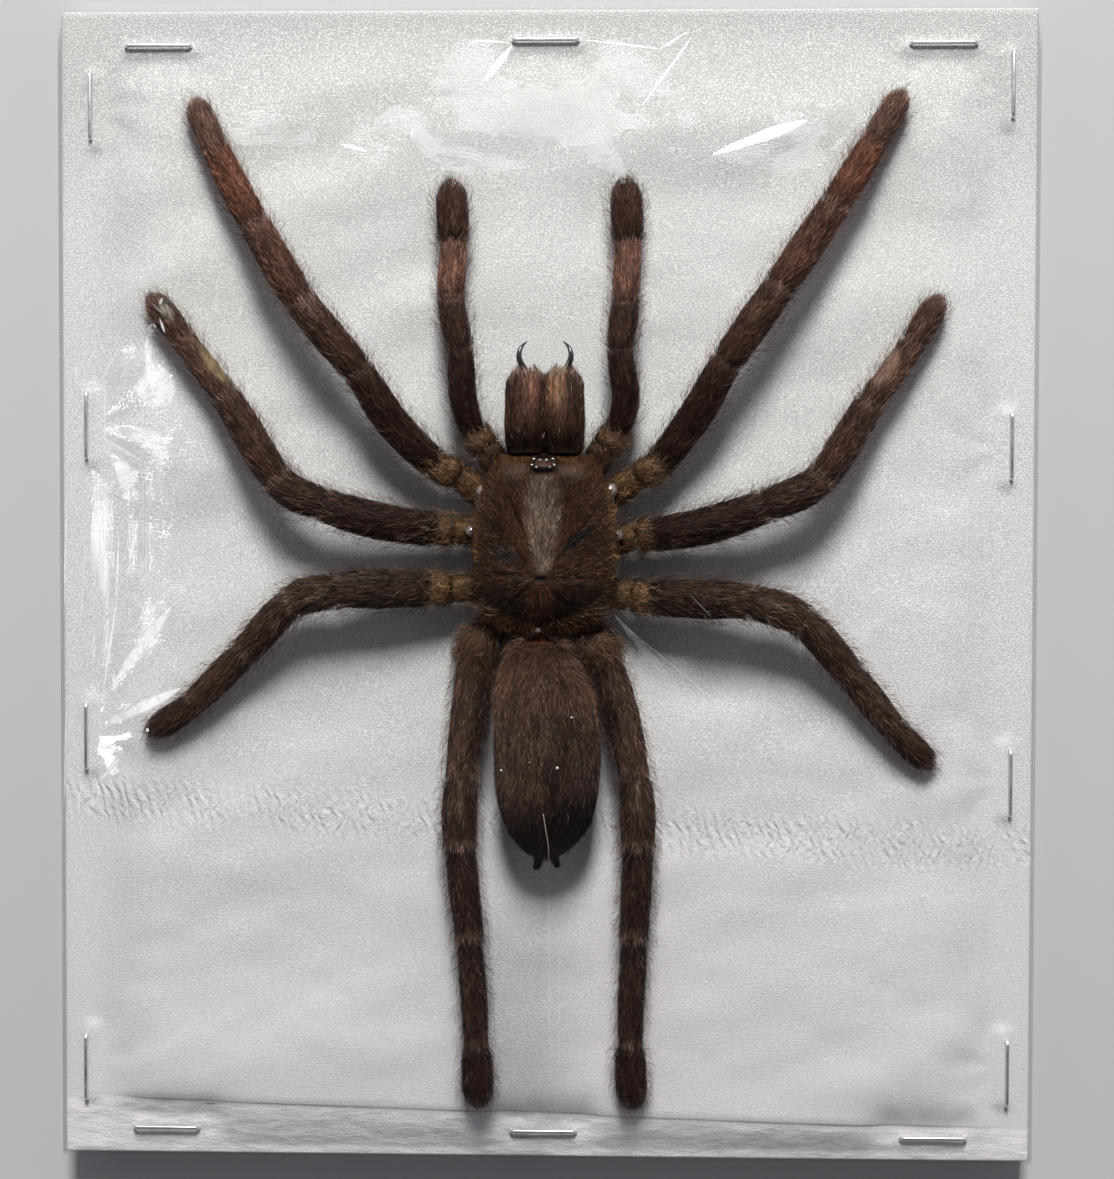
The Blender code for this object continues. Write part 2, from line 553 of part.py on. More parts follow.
def main():
    for old in list(bpy.data.objects):
        bpy.data.objects.remove(old)
    card = add_card()
    add_wadding()
    cover = add_cover()
    add_cephalothorax()
    add_abdomen()
    for name, side in (("left", -1), ("right", 1)):
        add_jaw(f"chelicera_{name}", side)
        add_fang(f"fang_{name}", side)
    for name in LIMB_JOINTS:
        add_limb(name)
    bpy.context.view_layer.update()
    beneath = [piece for piece in bpy.context.scene.objects if piece not in (card, cover)]
    film = add_film(beneath)
    add_staples((card, cover, film))


main()
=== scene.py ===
"""Looks of a spread, dried tarantula on a padded card, under clear film held by staples.

Every table here is in millimetres and in the CAD model's frame: +X across the board, +Y from the spider's
tail to its fangs, +Z out of the board. Meshes are made in metres, with each object at the origin.
"""

import math

import bpy
import mathutils
import numpy as np
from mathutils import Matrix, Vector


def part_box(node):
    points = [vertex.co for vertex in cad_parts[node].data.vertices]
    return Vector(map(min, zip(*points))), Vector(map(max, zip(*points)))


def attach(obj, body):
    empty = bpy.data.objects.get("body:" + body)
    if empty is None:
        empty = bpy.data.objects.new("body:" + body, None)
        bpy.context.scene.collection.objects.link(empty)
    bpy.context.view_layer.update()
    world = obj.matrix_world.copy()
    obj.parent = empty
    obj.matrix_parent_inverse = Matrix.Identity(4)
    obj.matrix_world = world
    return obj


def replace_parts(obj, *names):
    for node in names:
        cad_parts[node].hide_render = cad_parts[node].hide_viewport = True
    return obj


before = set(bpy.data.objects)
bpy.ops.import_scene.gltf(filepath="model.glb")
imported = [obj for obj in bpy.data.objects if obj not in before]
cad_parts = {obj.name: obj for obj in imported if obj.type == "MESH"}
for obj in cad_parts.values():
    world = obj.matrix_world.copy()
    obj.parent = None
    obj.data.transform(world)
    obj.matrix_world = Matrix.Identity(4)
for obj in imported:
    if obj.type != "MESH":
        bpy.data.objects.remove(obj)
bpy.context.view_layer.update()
BODY = "root"
MM = 0.001
TURN = 2 * math.pi

# ---------------------------------------------------------------- sizes and places

PHOTO_WIDTH = 1114
PHOTO_HEIGHT = 1179
CAMERA_PLACE = (10.92, 9.65, 303.5)
CAMERA_TILT = (-0.0330, 0.0315, 0.0024)  # radians, as found from the board's four corners
FOCAL_PIXELS = 2242.0
SENSOR = 36.0
GLARE_DISTANCE = 450
FLOOR_HALF = 1500

# Limbs: joints from the body outwards, with one more point in the femur's middle, as in the CAD model. They
# are sighted from above, then moved down their lines of sight, because the limbs lie low on the pad.
SIGHTED_FROM = np.array((10.9, 9.7, 303.5))
LYING_HEIGHT = 10.3
ARCH_SHARE = 0.52
LIMB_JOINTS = {
    "leg_1_left": ((-7.2, 11.6, 12.3), (-10.9, 14.7, 13.1), (-13.9, 16.1, 13.8), (-19.2, 21.4, 15.9),
                   (-23.5, 27.9, 17.9), (-30.7, 36.7, 17.7), (-37.2, 46.9, 13.9), (-42.8, 57.0, 11.0),
                   (-45.9, 63.6, 9.4)),
    "leg_1_right": ((7.6, 11.6, 12.3), (12.1, 14.5, 13.1), (15.0, 16.5, 13.8), (20.0, 23.2, 16.0),
                    (23.3, 29.0, 17.9), (29.9, 38.5, 17.5), (37.1, 49.2, 13.7), (42.4, 57.7, 11.0),
                    (46.3, 64.4, 9.4)),
    "leg_2_left": ((-6.6, 7.7, 12.3), (-11.5, 7.6, 13.1), (-13.9, 7.7, 13.6), (-20.7, 8.8, 16.0),
                   (-27.8, 10.9, 17.7), (-33.8, 14.1, 16.9), (-41.3, 24.9, 12.5), (-47.3, 32.6, 10.5),
                   (-51.7, 38.1, 9.4)),
    "leg_2_right": ((7.0, 6.0, 12.3), (12.0, 6.9, 13.1), (14.1, 7.1, 13.6), (21.1, 8.4, 16.0),
                    (28.1, 10.8, 17.7), (35.4, 14.4, 16.7), (41.9, 23.9, 12.5), (47.7, 32.0, 10.5),
                    (51.3, 37.8, 9.4)),
    "leg_3_left": ((-6.6, 0.5, 12.3), (-11.9, 0.1, 13.1), (-14.7, 0.1, 13.6), (-21.0, 0.1, 15.5),
                   (-26.4, -0.1, 16.7), (-32.2, -1.7, 16.1), (-39.1, -8.3, 12.3), (-46.1, -15.0, 10.3),
                   (-52.1, -19.1, 9.4)),
    "leg_3_right": ((6.8, -0.1, 12.3), (11.4, -0.8, 13.1), (13.9, -1.0, 13.6), (20.2, -1.1, 15.5),
                    (26.5, -1.4, 16.7), (33.1, -3.7, 16.1), (39.7, -10.7, 12.3), (45.6, -17.9, 10.3),
                    (50.6, -22.8, 9.4)),
    "leg_4_left": ((-5.2, -3.1, 11.8), (-7.4, -5.6, 12.1), (-9.0, -8.8, 12.5), (-9.7, -15.5, 14.0),
                   (-10.5, -24.4, 15.1), (-10.7, -33.2, 14.1), (-9.6, -45.8, 11.9), (-8.8, -60.3, 10.3),
                   (-8.6, -68.2, 9.4)),
    "leg_4_right": ((5.0, -3.4, 11.8), (6.4, -5.8, 12.1), (8.2, -9.0, 12.5), (10.2, -15.8, 14.0),
                    (11.9, -24.2, 15.1), (12.4, -33.1, 14.1), (11.9, -45.6, 11.9), (11.5, -60.1, 10.3),
                    (11.8, -68.2, 9.4)),
    "palp_left": ((-5.3, 14.9, 12.5), (-7.3, 18.5, 13.3), (-8.8, 20.1, 13.9), (-10.2, 24.6, 15.5),
                  (-10.6, 30.8, 16.1), (-11.9, 37.3, 14.3), (-11.8, 45.0, 11.7), (-12.2, 52.8, 10.4)),
    "palp_right": ((5.9, 14.9, 12.5), (7.9, 18.5, 13.3), (9.4, 20.1, 13.9), (10.6, 24.6, 15.5),
                   (9.9, 30.8, 16.1), (10.5, 37.0, 14.3), (10.8, 45.0, 11.7), (10.5, 53.0, 10.4)),
}
SEGMENTS = ("coxa", "trochanter", "femur", "patella", "tibia", "metatarsus", "tarsus")  # palps: no metatarsus
SEGMENT_JOINTS = (0, 1, 2, 4, 5, 6, 7, 8)  # where each segment starts, and where the last ends
SEGMENT_STEPS = 18
LIMB_SIDES = 24
LIMB_WIDTHS = {  # of each segment, across the coat of hair
    "leg_1": (3.4, 3.8, 4.4, 4.4, 4.4, 4.0, 3.6),
    "leg_2": (3.4, 3.8, 4.8, 4.5, 4.3, 3.7, 3.5),
    "leg_3": (3.4, 4.0, 5.0, 4.7, 4.3, 3.9, 3.6),
    "leg_4": (3.2, 3.8, 4.3, 4.6, 4.0, 3.5, 4.1),
    "palp": (2.9, 3.3, 3.8, 3.9, 3.8, 4.4),
}
LIMB_FLATNESS = 0.92
COAT = 0.2  # from the solid's outside down to a limb's skin
# How slim a segment's ends are beside its middle, and where that middle lies: above 1 is further out.
SHAPES = {
    "coxa": (0.8, 1.1), "trochanter": (0.8, 1.0), "femur": (0.84, 1.1), "patella": (0.88, 1.2),
    "tibia": (0.86, 0.9), "metatarsus": (0.82, 0.8), "tarsus": (0.84, 0.8),
}

# The front body, seen from above, and the heights of its dome.
CARAPACE_OUTLINE = ((-5.7, 17.5), (-6.8, 15.7), (-8.3, 11.8), (-8.7, 9.0), (-8.9, 5.2), (-8.7, 2.3),
                    (-8.1, -0.3), (-6.8, -2.3), (-4.5, -3.8), (-0.4, -4.7), (4.4, -3.6), (7.0, -2.2),
                    (8.6, -0.2), (9.2, 2.3), (9.4, 6.3), (9.2, 9.6), (8.5, 12.8), (7.5, 15.6), (6.3, 17.5))
STERNUM_HALF = ((3.2, 17.2), (3.4, 14.4), (5.2, 12.0), (6.0, 8.0), (6.0, 3.0), (5.0, -0.5), (2.8, -2.7))
STERNUM_MIDDLE = (0.0, 6.5)
STERNUM_BOTTOM = 8.3
CARAPACE_BRIM = (14.7, 15.2)  # heights of the brim's lower and upper edge
CARAPACE_CROWN = 3.5  # how far the dome rises above its brim
CARAPACE_FALL = 2.4  # how much steeper the dome gets towards its brim
CARAPACE_FRONT = 7.0  # the same in front, where its head is blunt
FOVEA = (-0.3, 1.8)  # the dome's middle
EYES = (0.15, 16.3)  # the middle of the eyes' mound
EYE_PAIRS = ((0.42, 0.3, 0.34), (1.2, 0.45, 0.34), (1.42, -0.3, 0.3), (0.85, -0.55, 0.24))  # x, y, radius
COXA_KNOBS = (  # x, y, z and radius of the glossy knobs where limbs meet the front body
    (-0.6, -5.2, 15.0, 0.42), (-7.8, 12.7, 14.3, 0.9), (8.7, 12.9, 13.9, 0.95), (-9.3, 7.6, 13.8, 0.8),
    (9.6, 7.1, 13.8, 0.8),
)

# The rear body as (y, middle x, half width, middle z, half height), from the waist to the tail.
ABDOMEN_SECTIONS = (
    (-5.4, -0.4, 1.1, 12.6, 1.1), (-6.6, -0.4, 1.3, 12.8, 1.3), (-7.4, -0.4, 3.4, 13.4, 3.2),
    (-9.6, -0.3, 5.0, 13.9, 4.7), (-12.0, 0.0, 6.0, 14.2, 5.5), (-15.5, 0.3, 6.7, 14.4, 5.9),
    (-20.0, 0.6, 7.0, 14.4, 6.0), (-24.5, 0.6, 6.8, 14.2, 5.8), (-28.0, 0.6, 6.3, 13.8, 5.3),
    (-31.0, 0.6, 5.3, 13.2, 4.5), (-33.4, 0.4, 3.4, 12.7, 3.0), (-34.6, 0.3, 1.6, 12.5, 1.5),
)
SPINNERETS = (((-0.2, -33.6, 12.3), (-0.9, -36.6, 11.6), 0.62),
              ((1.0, -33.6, 12.3), (1.9, -36.3, 11.6), 0.62))
DUST = ((-5.1, -22.9, 0.16), (2.1, -22.4, 0.2), (3.9, -16.0, 0.14), (-1.4, -21.7, 0.1))  # x, y and radius
BRISTLE = ((0.3, -28.4, 0.3), (0.6, -30.6, 0.2), (0.9, -33.0, 0.2), (0.9, -35.2, 0.3))  # x, y, below the film
JAW_SECTIONS = ((17.9, 2.3, 13.2, 4.0), (21.0, 2.45, 13.2, 4.3), (24.6, 2.4, 12.9, 4.1),
                (26.8, 2.25, 12.6, 3.6), (28.1, 1.65, 12.3, 2.4))
JAW_MIDDLE = 0.15
JAW_PITCH = 2.6  # how far a jaw's middle stands from the middle line
JAW_SQUARENESS = 3.0
FANG_ROUTE = ((-2.6, 28.6, 12.0), (-3.2, 30.0, 12.6), (-3.0, 31.3, 12.4), (-2.2, 32.2, 11.9))
FANG_RADII = (0.46, 0.38, 0.27, 0.06)

# The tissue and the film. A hem and a row are embossed in the paper, each given by its height up the board at
# the middle and its slope. The pad ends at the hem.
HEM_Y, HEM_SLOPE = -70.1, -0.0277
CRIMP_Y, CRIMP_SLOPE = -30.2, -0.047
CRIMP_PITCH = 1.35
COVER_EDGE = 5.65  # height of the paper at the board's edge
COVER_MARGIN = 18.0  # how far the paper is folded in under the back
COVER_STEP = 0.62
FILM_EDGE = 6.0
FILM_MARGIN = 14.0
FILM_STEP = 0.7
FILM_GAP = 0.12  # from the paper up to the film that lies on it
TAUT_ROUNDS = 260
TURNED_RADIUS = 0.3
STAPLE_BED = 0.5  # how far the paper rises under a staple's crown
STAPLE_BEND = 0.55
STAPLE_SQUARENESS = 3.5

# Painted highlights on the film: glints along its creases and elsewhere, and pale scratches; their ends in
# the photo's pixels, half width, how white.
FILM_GLINTS_AND_SCRATCHES = (
    (100, 480, 104, 580, 0.22, 0.9), (96, 490, 102, 575, 0.10, 0.7), (119, 530, 117, 600, 0.25, 0.9),
    (118, 590, 104, 692, 0.25, 0.9), (86, 525, 81, 630, 0.12, 0.5), (66, 495, 65, 605, 0.15, 0.7),
    (94, 622, 93, 660, 0.15, 0.6), (172, 605, 116, 681, 0.9, 1.0), (182, 687, 104, 726, 0.8, 0.9),
    (149, 445, 146, 655, 0.06, 0.5), (145, 455, 144, 650, 0.05, 0.4), (75, 365, 78, 385, 0.12, 0.7),
    (94, 367, 96, 388, 0.12, 0.7), (124, 340, 97, 389, 0.25, 0.6), (106, 382, 105, 457, 0.15, 0.7),
    (107, 439, 142, 461, 0.25, 0.5), (94, 780, 93, 815, 0.12, 0.7), (82, 780, 78, 819, 0.12, 0.7),
    (125, 752, 100, 781, 0.35, 0.8), (66, 710, 64, 810, 0.12, 0.6), (712, 155, 808, 120, 0.80, 0.8),
    (340, 144, 367, 152, 0.25, 0.8), (512, 46, 483, 81, 0.5, 0.9), (583, 40, 660, 49, 0.15, 0.5),
    (660, 49, 688, 32, 0.15, 0.5), (692, 36, 641, 107, 0.2, 0.6), (470, 40, 509, 43, 0.15, 0.5),
    (160, 318, 165, 333, 0.25, 0.8), (163, 298, 160, 305, 0.3, 0.5), (621, 624, 800, 768, 0.10, 0.22),
    (548, 882, 552, 1115, 0.12, 0.3), (559, 932, 559, 1105, 0.10, 0.22), (614, 614, 690, 706, 0.6, 0.09),
    (689, 594, 712, 618, 0.07, 0.2),
)

# Colours of the coat, in sRGB.
COAT_GAIN = 1.3  # from the colours seen to the hair's own
COATS = {  # of each segment
    "leg_1": ((110, 81, 52), (96, 70, 46), (50, 31, 25), (72, 50, 41),
              (86, 57, 45), (108, 70, 53), (104, 77, 64)),
    "leg_2": ((108, 79, 50), (90, 65, 43), (50, 32, 26), (60, 41, 33),
              (66, 43, 34), (96, 70, 56), (86, 60, 48)),
    "leg_3": ((110, 83, 52), (100, 74, 48), (58, 41, 32), (66, 49, 38),
              (70, 51, 41), (74, 55, 45), (66, 46, 37)),
    "leg_4": ((84, 60, 44), (84, 62, 46), (74, 55, 46), (60, 44, 36),
              (48, 33, 28), (50, 35, 30), (46, 31, 26)),
    "palp": ((104, 75, 54), (96, 70, 50), (46, 29, 25), (60, 40, 34), (112, 80, 67), (68, 46, 37)),
}
RING = (150, 120, 106)  # pale hairs round the joints
RING_SHARES = {"trochanter": 0.35, "femur": 0.25, "patella": 0.55, "tibia": 0.55, "metatarsus": 0.4}
# Bald, pale or dark places on limbs, and one painted highlight: limb, x, y, heading in degrees, half length,
# half width, colour, share.
SPOTS_AND_GLINT = (
    ("leg_2_left", -43.0, 29.4, -58, 3.6, 0.95, (122, 108, 78), 0.9),
    # Painted highlight: a near-white patch on the tarsus, where the film lies on it.
    ("leg_2_left", -49.3, 36.0, -55, 1.2, 0.8, (190, 185, 175), 0.7),
    ("leg_2_right", 43.9, 28.6, 60, 3.0, 1.3, (124, 98, 84), 0.8),
    ("leg_2_right", 49.6, 35.4, 55, 2.4, 0.8, (112, 86, 76), 0.6),
    ("leg_1_right", 27.1, 35.6, 53, 1.6, 1.0, (128, 100, 72), 0.6),
    ("leg_1_left", -29.8, 36.0, -62, 1.8, 1.3, (122, 96, 84), 0.6),
    ("leg_1_left", -43.9, 59.5, -64, 2.6, 0.8, (146, 112, 94), 0.5),
    ("leg_4_left", -10.8, -26.9, -93, 3.0, 0.35, (116, 96, 82), 0.75),
    ("leg_4_left", -11.9, -27.2, -93, 2.4, 0.25, (100, 82, 68), 0.6),
    ("leg_4_right", 12.4, -26.7, -87, 3.0, 0.35, (116, 96, 82), 0.75),
    ("leg_4_right", 13.4, -27.0, -87, 2.4, 0.25, (100, 82, 68), 0.6),
    ("leg_4_left", -9.7, -9.0, -96, 0.9, 0.4, (176, 120, 56), 0.8),
    ("leg_3_right", 29.8, -1.9, -20, 2.6, 0.3, (128, 104, 84), 0.6),
    ("leg_3_left", -29.6, -1.0, -157, 2.6, 0.3, (128, 104, 84), 0.6),
    ("leg_1_right", 41.5, 59.9, 60, 2.4, 0.3, (24, 14, 12), 0.8),
    ("leg_1_left", -42.4, 57.6, -71, 1.2, 0.25, (24, 14, 12), 0.8),
    ("leg_2_right", 46.2, 32.3, 71, 1.2, 0.25, (24, 16, 14), 0.8),
)
CARAPACE_SPOTS = (  # x, y, heading in degrees, half length, half width, colour, how much
    (-4.3, 4.5, -26, 1.9, 0.9, (50, 43, 41), 0.85), (4.4, 6.5, 40, 2.6, 0.45, (34, 30, 30), 0.95),
    (-3.5, 13.1, 0, 0.8, 0.9, (44, 34, 34), 0.35), (3.3, 13.3, 0, 0.8, 0.9, (44, 34, 34), 0.35),
    (-0.1, 1.5, 0, 0.9, 0.35, (12, 8, 6), 0.9), (EYES[0], EYES[1] - 0.1, 0, 1.95, 1.25, (14, 9, 7), 1.0),
    (EYES[0], EYES[1] - 0.05, 0, 1.1, 0.6, (90, 64, 46), 0.9),
)
# Pale hairs are partly the coat's own and partly painted glints of light on hairs.
PALE = (0.24, 4.6)  # the share of hairs that are lighter than the rest, and by how much
HAIR_SHADES = (0.5, 1.0, 1.0, 1.25)  # from a hair's root over its middle to its tip
HAIR_SINK = 0.08  # how far a hair's root lies under the skin
UNSEEN = 0.01  # the colour of what no side shows

# ---------------------------------------------------------------- small tools


def srgb(red, green, blue):
    """The linear colour of an sRGB one given from 0 to 255."""
    values = np.array((red, green, blue)) / 255
    return np.where(values <= 0.04045, values / 12.92, ((values + 0.055) / 1.055) ** 2.4)


def coat_colour(colour):
    return srgb(*colour) * COAT_GAIN


def toward(hue, colour, share):
    """Rows of colours, each moved towards another colour by its share."""
    return hue + (colour - hue) * share[:, None]


def plain(colour):
    """A tint that is the same everywhere."""
    return lambda u, turn, points: np.tile(colour, (len(u), 1))


def unit(vectors):
    return vectors / np.maximum(np.linalg.norm(vectors, axis=-1, keepdims=True), 1e-9)


def ramp(value, low, high):
    """0 below low, 1 above high, smooth between."""
    t = np.clip((value - low) / (high - low), 0, 1)
    return t * t * (3 - 2 * t)


def bell(value, middle, spread):
    return np.exp(-(((value - middle) / spread) ** 2))


def noise(x, y, size, seed):
    """Smooth noise from -1 to 1, with lumps of about the given size, or (size along x, size along y)."""
    size_x, size_y = size if isinstance(size, tuple) else (size, size)
    lattice = np.random.default_rng(seed).uniform(-1, 1, (128, 128))
    u, v = x / size_x + 40.5, y / size_y + 40.5
    i, j = np.floor(u).astype(int), np.floor(v).astype(int)
    a, b = u - i, v - j
    a, b = a * a * (3 - 2 * a), b * b * (3 - 2 * b)
    i, j = i % 127, j % 127
    low = lattice[j, i] * (1 - a) + lattice[j, i + 1] * a
    high = lattice[j + 1, i] * (1 - a) + lattice[j + 1, i + 1] * a
    return low * (1 - b) + high * b


def curve(points, places):
    """Points at places such as 2.5 along a Catmull-Rom curve, and the curve's slope there."""
    points = np.asarray(points, float)
    last = len(points) - 1
    index = np.clip(np.floor(places).astype(int), 0, last - 1)
    t = (places - index)[:, None]
    a, b, c, d = (points[np.clip(index + k, 0, last)] for k in (-1, 0, 1, 2))
    bend, twist = 2 * a - 5 * b + 4 * c - d, 3 * b - a - 3 * c + d
    slope = c - a + 2 * bend * t + 3 * twist * t**2
    return 0.5 * (2 * b + (c - a) * t + bend * t**2 + twist * t**3), 0.5 * slope


def turns(count):
    return np.arange(count) * TURN / count


def squared(c, s, power):
    """How far a rounded square reaches in a direction: 1 where it touches the unit circle."""
    return (np.abs(c) ** power + np.abs(s) ** power) ** (-1 / power)


def grid_faces(rows, columns, around=False):
    """Quads of a grid of points, closed round its columns if asked."""
    j, i = np.meshgrid(np.arange(rows - 1), np.arange(columns if around else columns - 1), indexing="ij")
    j, i = j.ravel(), i.ravel()
    after = (i + 1) % columns
    low, high = j * columns, (j + 1) * columns
    return np.stack([low + i, low + after, high + after, high + i], 1)


def band(before, after):
    """Quads between two closed rings of point numbers."""
    return np.stack([before, after, np.roll(after, -1), np.roll(before, -1)], 1)


def rim_of(numbers):
    """The point numbers round the edge of a grid."""
    return np.concatenate([numbers[0, :-1], numbers[:-1, -1], numbers[-1, :0:-1], numbers[:0:-1, 0]])


def add_mesh(name, points, faces, material, hues=None, grain=None, smooth=True):
    """An object from points in millimetres and lists of faces.

    Each point may have a colour, and a place along and across its coat in millimetres.
    """
    mesh = bpy.data.meshes.new(name)
    polygons = [polygon for part in faces for polygon in np.asarray(part).tolist()]
    mesh.from_pydata((np.asarray(points) * MM).tolist(), [], polygons)
    if hues is not None:
        layer = mesh.attributes.new("hue", "FLOAT_COLOR", "POINT")
        layer.data.foreach_set("color", np.column_stack([hues, np.ones(len(hues))]).ravel())
    if grain is not None:
        corners = np.zeros(len(mesh.loops), int)
        mesh.loops.foreach_get("vertex_index", corners)
        mesh.uv_layers.new(name="grain").data.foreach_set("uv", np.asarray(grain)[corners].ravel())
    mesh.polygons.foreach_set("use_smooth", np.full(len(mesh.polygons), smooth))
    mesh.materials.append(material)
    made = bpy.data.objects.new(name, mesh)
    bpy.context.scene.collection.objects.link(made)
    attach(made, BODY)
    return made


def box_of(node):
    """The lowest and the highest corner of a CAD solid, in millimetres."""
    return [np.array(corner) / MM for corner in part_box(node)]


# ---------------------------------------------------------------- materials


class Nodes:
    """Builds a material or a world: add() makes a node and sets its inputs, from values or other sockets."""

    def __init__(self, name, owners=bpy.data.materials, out="OutputMaterial"):
        self.owner = owners.new(name)
        self.owner.use_nodes = True
        self.tree = self.owner.node_tree
        self.tree.nodes.clear()
        self.out = self.tree.nodes.new("ShaderNode" + out)

    def add(self, kind, output=0, settings=None, **inputs):
        """An input's key is its name, or i and its number."""
        made = self.tree.nodes.new("ShaderNode" + kind)
        for key, value in (settings or {}).items():
            setattr(made, key, value)
        for key, value in inputs.items():
            socket = made.inputs[int(key[1:]) if key[1:].isdigit() else key.replace("_", " ")]
            if isinstance(value, bpy.types.NodeSocket):
                self.tree.links.new(value, socket)
            else:
                socket.default_value = (*value, 1.0) if socket.type == "RGBA" else value
        return made.outputs[output]

    def place(self, *stretch):
        """Object coordinates, scaled."""
        place = self.add("TexCoord", "Object")
        return self.add("Mapping", Vector=place, Scale=stretch) if stretch else place

    def split(self, vector):
        return self.add("SeparateXYZ", slice(None), Vector=vector)

    def noise(self, scale, detail, roughness, vector=None):
        place = vector or self.place()
        return self.add("TexNoise", Vector=place, Scale=scale, Detail=detail, Roughness=roughness)

    def mix(self, factor, first, second, kind="MIX"):
        return self.add("Mix", 2, {"data_type": "RGBA", "blend_type": kind}, i0=factor, i6=first, i7=second)

    def math(self, operation, first, second=0.0, third=0.0):
        return self.add("Math", 0, {"operation": operation}, i0=first, i1=second, i2=third)

    def times(self, first, second):
        return self.math("MULTIPLY", first, second)

    def line(self, value, factor, start):
        return self.math("MULTIPLY_ADD", value, factor, start)

    def range(self, value, low, high, to_low=0.0, to_high=1.0):
        return self.add("MapRange", Value=value, From_Min=low, From_Max=high, To_Min=to_low, To_Max=to_high)

    def near(self, value, low, high):
        """1 where a value is closer to zero than low, and 0 where it is further from it than high."""
        return self.range(self.math("ABSOLUTE", value), low, high, 1.0, 0.0)

    def bump(self, height, strength, distance, **normal):
        return self.add("Bump", Height=height, Strength=strength, Distance=distance, **normal)

    def finish(self, shader):
        self.tree.links.new(shader, self.out.inputs["Surface"])
        return self.owner

    def surface(self, **inputs):
        return self.finish(self.add("BsdfPrincipled", **inputs))


def cover_material():
    """Fine fibrous tissue paper: a grain, an embossed row and a crinkled hem strip, with painted shade and
    light in part of the grain and the strip's fibres, a painted shadow line along the hem, a painted shadow
    band behind the abdomen, a darker top edge and a darker bottom.
    """
    n = Nodes("tissue")
    grain = n.noise(7500, 1, 0.5, n.place(0.8, 1.2, 1.0))
    specks = n.noise(4800, 1, 0.5, n.place(1.0, 1.15, 1.0))
    x, y, _ = n.split(n.place(1 / MM, 1 / MM, 1 / MM))
    # Painted shade and light: the paper is darker towards the bottom and lighter towards the top, as the
    # lamp's light falls off down the board.
    shade = n.mix(n.range(y, -70, 70), (0.645, 0.627, 0.640), (0.755, 0.775, 0.745))
    shade = n.mix(n.range(n.noise(28, 2, 0.5), 0.35, 0.65, 0.0, 0.6), shade, (0.715, 0.697, 0.703))
    # Painted shade: the paper is darkened along its top edge.
    shade = n.mix(n.range(y, 49, 66, 0.0, 0.29), shade, (0.0, 0.0, 0.0))
    # Painted shadow: a dark bluish band on the paper behind the abdomen's tail, between the hind legs.
    painted_shadow_band = n.times(n.near(n.math("ADD", x, 3.5), 3.0, 10.5), n.range(y, -40, -50))
    shade = n.mix(n.times(painted_shadow_band, 0.55), shade, (0.26, 0.265, 0.31))
    # The grain's dark flecks and white specks are partly the fibres' own tone and partly painted shade and
    # highlight of the paper's tiny bumps.
    rough = n.range(y, -62, -5, 0.30, 0.80)
    shade = n.mix(n.times(rough, n.range(grain, 0.36, 0.58, 0.0, 0.8)), shade, (0.40, 0.395, 0.40))
    shade = n.mix(n.times(rough, n.range(specks, 0.50, 0.62, 0.0, 0.7)), shade, (0.99, 0.99, 0.97))
    # Painted shadow: a dark line along the hem, where the pad steps down onto the strip below.
    hem = n.math("SUBTRACT", y, n.line(x, HEM_SLOPE, HEM_Y))
    hem_shadow_line = n.near(n.math("SUBTRACT", hem, 0.05), 0.05, 0.26)
    hem_shadow_line = n.times(hem_shadow_line, n.range(n.noise(90, 2, 0.6), 0.35, 0.6, 0.35, 0.75))
    shade = n.mix(n.times(hem_shadow_line, n.near(x, 52, 62)), shade, (0.22, 0.20, 0.20))
    above = n.math("SUBTRACT", y, n.line(x, CRIMP_SLOPE, CRIMP_Y))
    waver = n.line(n.noise(330, 2, 0.6), 3.0, x)
    dents = n.math("SINE", n.times(n.line(above, 0.18, waver), TURN / CRIMP_PITCH))
    row = n.near(n.line(n.noise(150, 1, 0.5), 2.0, above), 1.6, 3.6)
    dents = n.times(dents, n.times(row, n.range(n.noise(140, 1, 0.6), 0.26, 0.48)))
    # The hem strip's fibres are bumped and lightened along the same noise: partly their own tone, partly
    # painted highlight on the crinkles.
    fibres = n.noise(1.0, 2, 0.5, n.place(280, 620, 1))
    strip = n.times(n.range(hem, 0.0, -0.8), n.range(fibres, 0.3, 0.7))
    shade = n.mix(n.times(strip, 0.35), shade, (0.99, 0.97, 0.97))
    normal = n.bump(strip, 0.36, 0.0003, Normal=n.bump(dents, 0.8, 0.0001))
    normal = n.bump(n.line(specks, 1.2, grain), 0.6, 0.0001, Normal=normal)
    return n.surface(Base_Color=shade, Roughness=0.75, Normal=normal, Specular_IOR_Level=0.3)


def card_material():
    n = Nodes("card")
    fibre = n.noise(1400, 4, 0.7)
    colour = n.mix(n.range(n.noise(60, 3, 0.6), 0.3, 0.7), srgb(205, 200, 190), srgb(190, 184, 172))
    colour = n.mix(n.range(fibre, 0.55, 0.75, 0.0, 0.35), colour, srgb(150, 140, 125))
    return n.surface(Base_Color=colour, Roughness=0.85, Normal=n.bump(fibre, 0.4, 0.0001))


def wadding_material():
    n = Nodes("wadding")
    fibre = n.noise(700, 5, 0.75, n.place(1.0, 0.4, 1.0))
    colour = n.mix(fibre, (0.82, 0.82, 0.81), (0.7, 0.7, 0.69))
    return n.surface(Base_Color=colour, Roughness=0.95, Normal=n.bump(fibre, 0.8, 0.0005))


